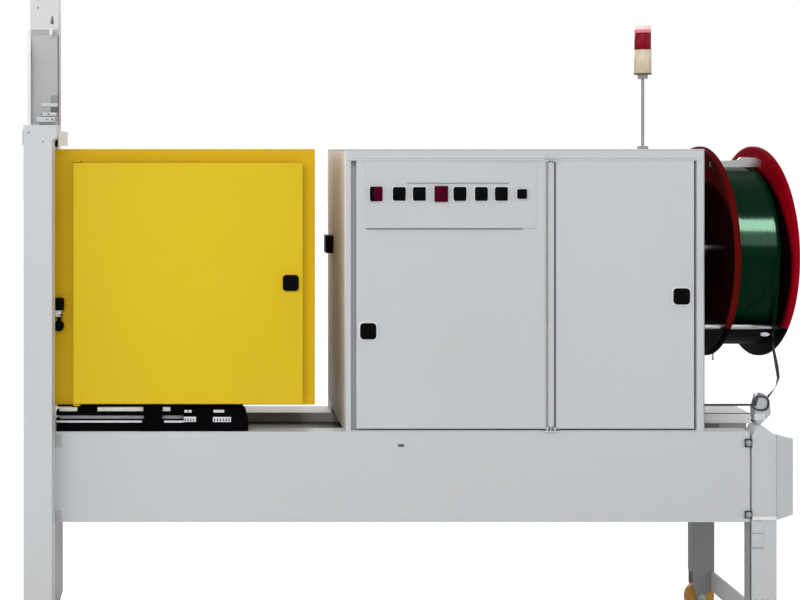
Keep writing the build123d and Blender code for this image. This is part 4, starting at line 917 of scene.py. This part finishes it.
blockPiece("apronPlate", (apronX[0], shelf["front"] + 0.0015, apronZ[0]),
           (apronX[1], shelf["front"] + 0.0037, apronZ[1]), "frame", "greySeam")

# Right leg and cover: the plate below the cover with its seams, shaded edges, and the cover's hem
legFront = lowSide("leg_front_right", 1)
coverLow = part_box("corner_covers")[0]
leg = {"x": (1.4795, 1.5080), "plateZ": (0.3025, 0.3690), "panelShadowLines": (0.3385, 0.3020), "seam": 0.0012,
       "screwX": 1.4900, "screwStep": 0.0150, "screwZ": 0.1720}
legPlate = bmesh.new()
plate(legPlate, legFront, leg["x"], leg["plateZ"], 0.0016, edge=0.0005)
finishPiece("legPlate", legPlate, "frame", "greyEnamel")
legSeams = bmesh.new()
for z in leg["panelShadowLines"]:
    plate(legSeams, legFront, leg["x"], (z, z + leg["seam"]), 0.0020, edge=0, sunk=0.0001)
for number in range(3):
    panScrew(legSeams, (leg["screwX"] + number * leg["screwStep"], legFront, leg["screwZ"]),
             toFront, 0.0016)
finishPiece("legSeams", legSeams, "frame", "greySeam")
foldX, foldZ = (1.5396, 1.5408), (0.3815, 0.5860)
legSideX, legSideBack, legSideZ = (1.4735, 1.4741), -0.1945, (0.0600, 0.3660)
shades = bmesh.new()  # the cover's folded corner, and the leg's left side
block(shades, (foldX[0], coverLow[1] - 0.0006, foldZ[0]), (foldX[1], coverLow[1] + 0.0004, foldZ[1]),
      edge=0.0002)
block(shades, (legSideX[0], legFront + 0.0005, legSideZ[0]), (legSideX[1], legSideBack, legSideZ[1]),
      edge=0)
finishPiece("legShades", shades, "frame", "midGrey")
hem = {"height": 0.0090, "out": 0.0016, "right": 1.5400}
for side, name in ((-1, "frontCoverHem"), (1, "rearCoverHem")):
    faces = sorted((side * abs(coverLow[1]), side * (abs(coverLow[1]) + hem["out"])))
    blockPiece(name, (coverLow[0] + 0.0004, faces[0], coverLow[2]),
               (hem["right"], faces[1], coverLow[2] + hem["height"]),
               "frame", "paleEnamel", 0.0006)
print("right end dressed")


# Fasteners: bolts through the top beam, rear post, rear beam and castors, and the head's screws
beamFace = lowSide("arch_top_beam", 1)
beamBolts = {"z": (1.8560, 1.9040), "farX": (-1.5850, -1.5490), "nearX": (-0.3290, -0.2930)}
frameBolts = bmesh.new()
for x in beamBolts["farX"]:
    for z in beamBolts["z"]:
        hexBolt(frameBolts, (x, beamFace, z), toFront)
        hexBolt(frameBolts, (x, -beamFace, z), toBack)
for x in beamBolts["nearX"]:
    for z in beamBolts["z"]:
        hexBolt(frameBolts, (x, -beamFace, z), toBack)
for z in (0.4100, 0.5300):
    hexBolt(frameBolts, (-0.3180, highSide("arch_rear_post", 1), z), toBack, 0.016)
    hexBolt(frameBolts, (1.4600, highSide("rear_beam", 1), z), toBack)
finishPiece("frameBolts", frameBolts, "frame", "boltSteel")
for name in ("wheel_front", "wheel_rear"):
    low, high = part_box(name)
    axle = bmesh.new()
    for face, out in ((low[1], toFront), (high[1], toBack)):
        hexBolt(axle, ((low[0] + high[0]) / 2, face, (low[2] + high[2]) / 2), out, 0.012)
    finishPiece(name.replace("_", "") + "Bolt", axle, name, "boltSteel")

pressScrews = {"inset": 0.020, "y": (-0.045, 0.045), "radius": 0.0036}
headScrews = bmesh.new()
screwsAllRound(headScrews, "head_back", (0.020, 0.016), (6, 3), (0.1332, 0.1533))
pressLow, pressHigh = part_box("press_plate")
for z in (pressLow[2] + pressScrews["inset"], (pressLow[2] + pressHigh[2]) / 2,
          pressHigh[2] - pressScrews["inset"]):
    for y in pressScrews["y"]:
        panScrew(headScrews, (pressLow[0], y, z), (-1, 0, 0), pressScrews["radius"])
finishPiece("headScrews", headScrews, "head", "boltSteel")
print("fasteners set")
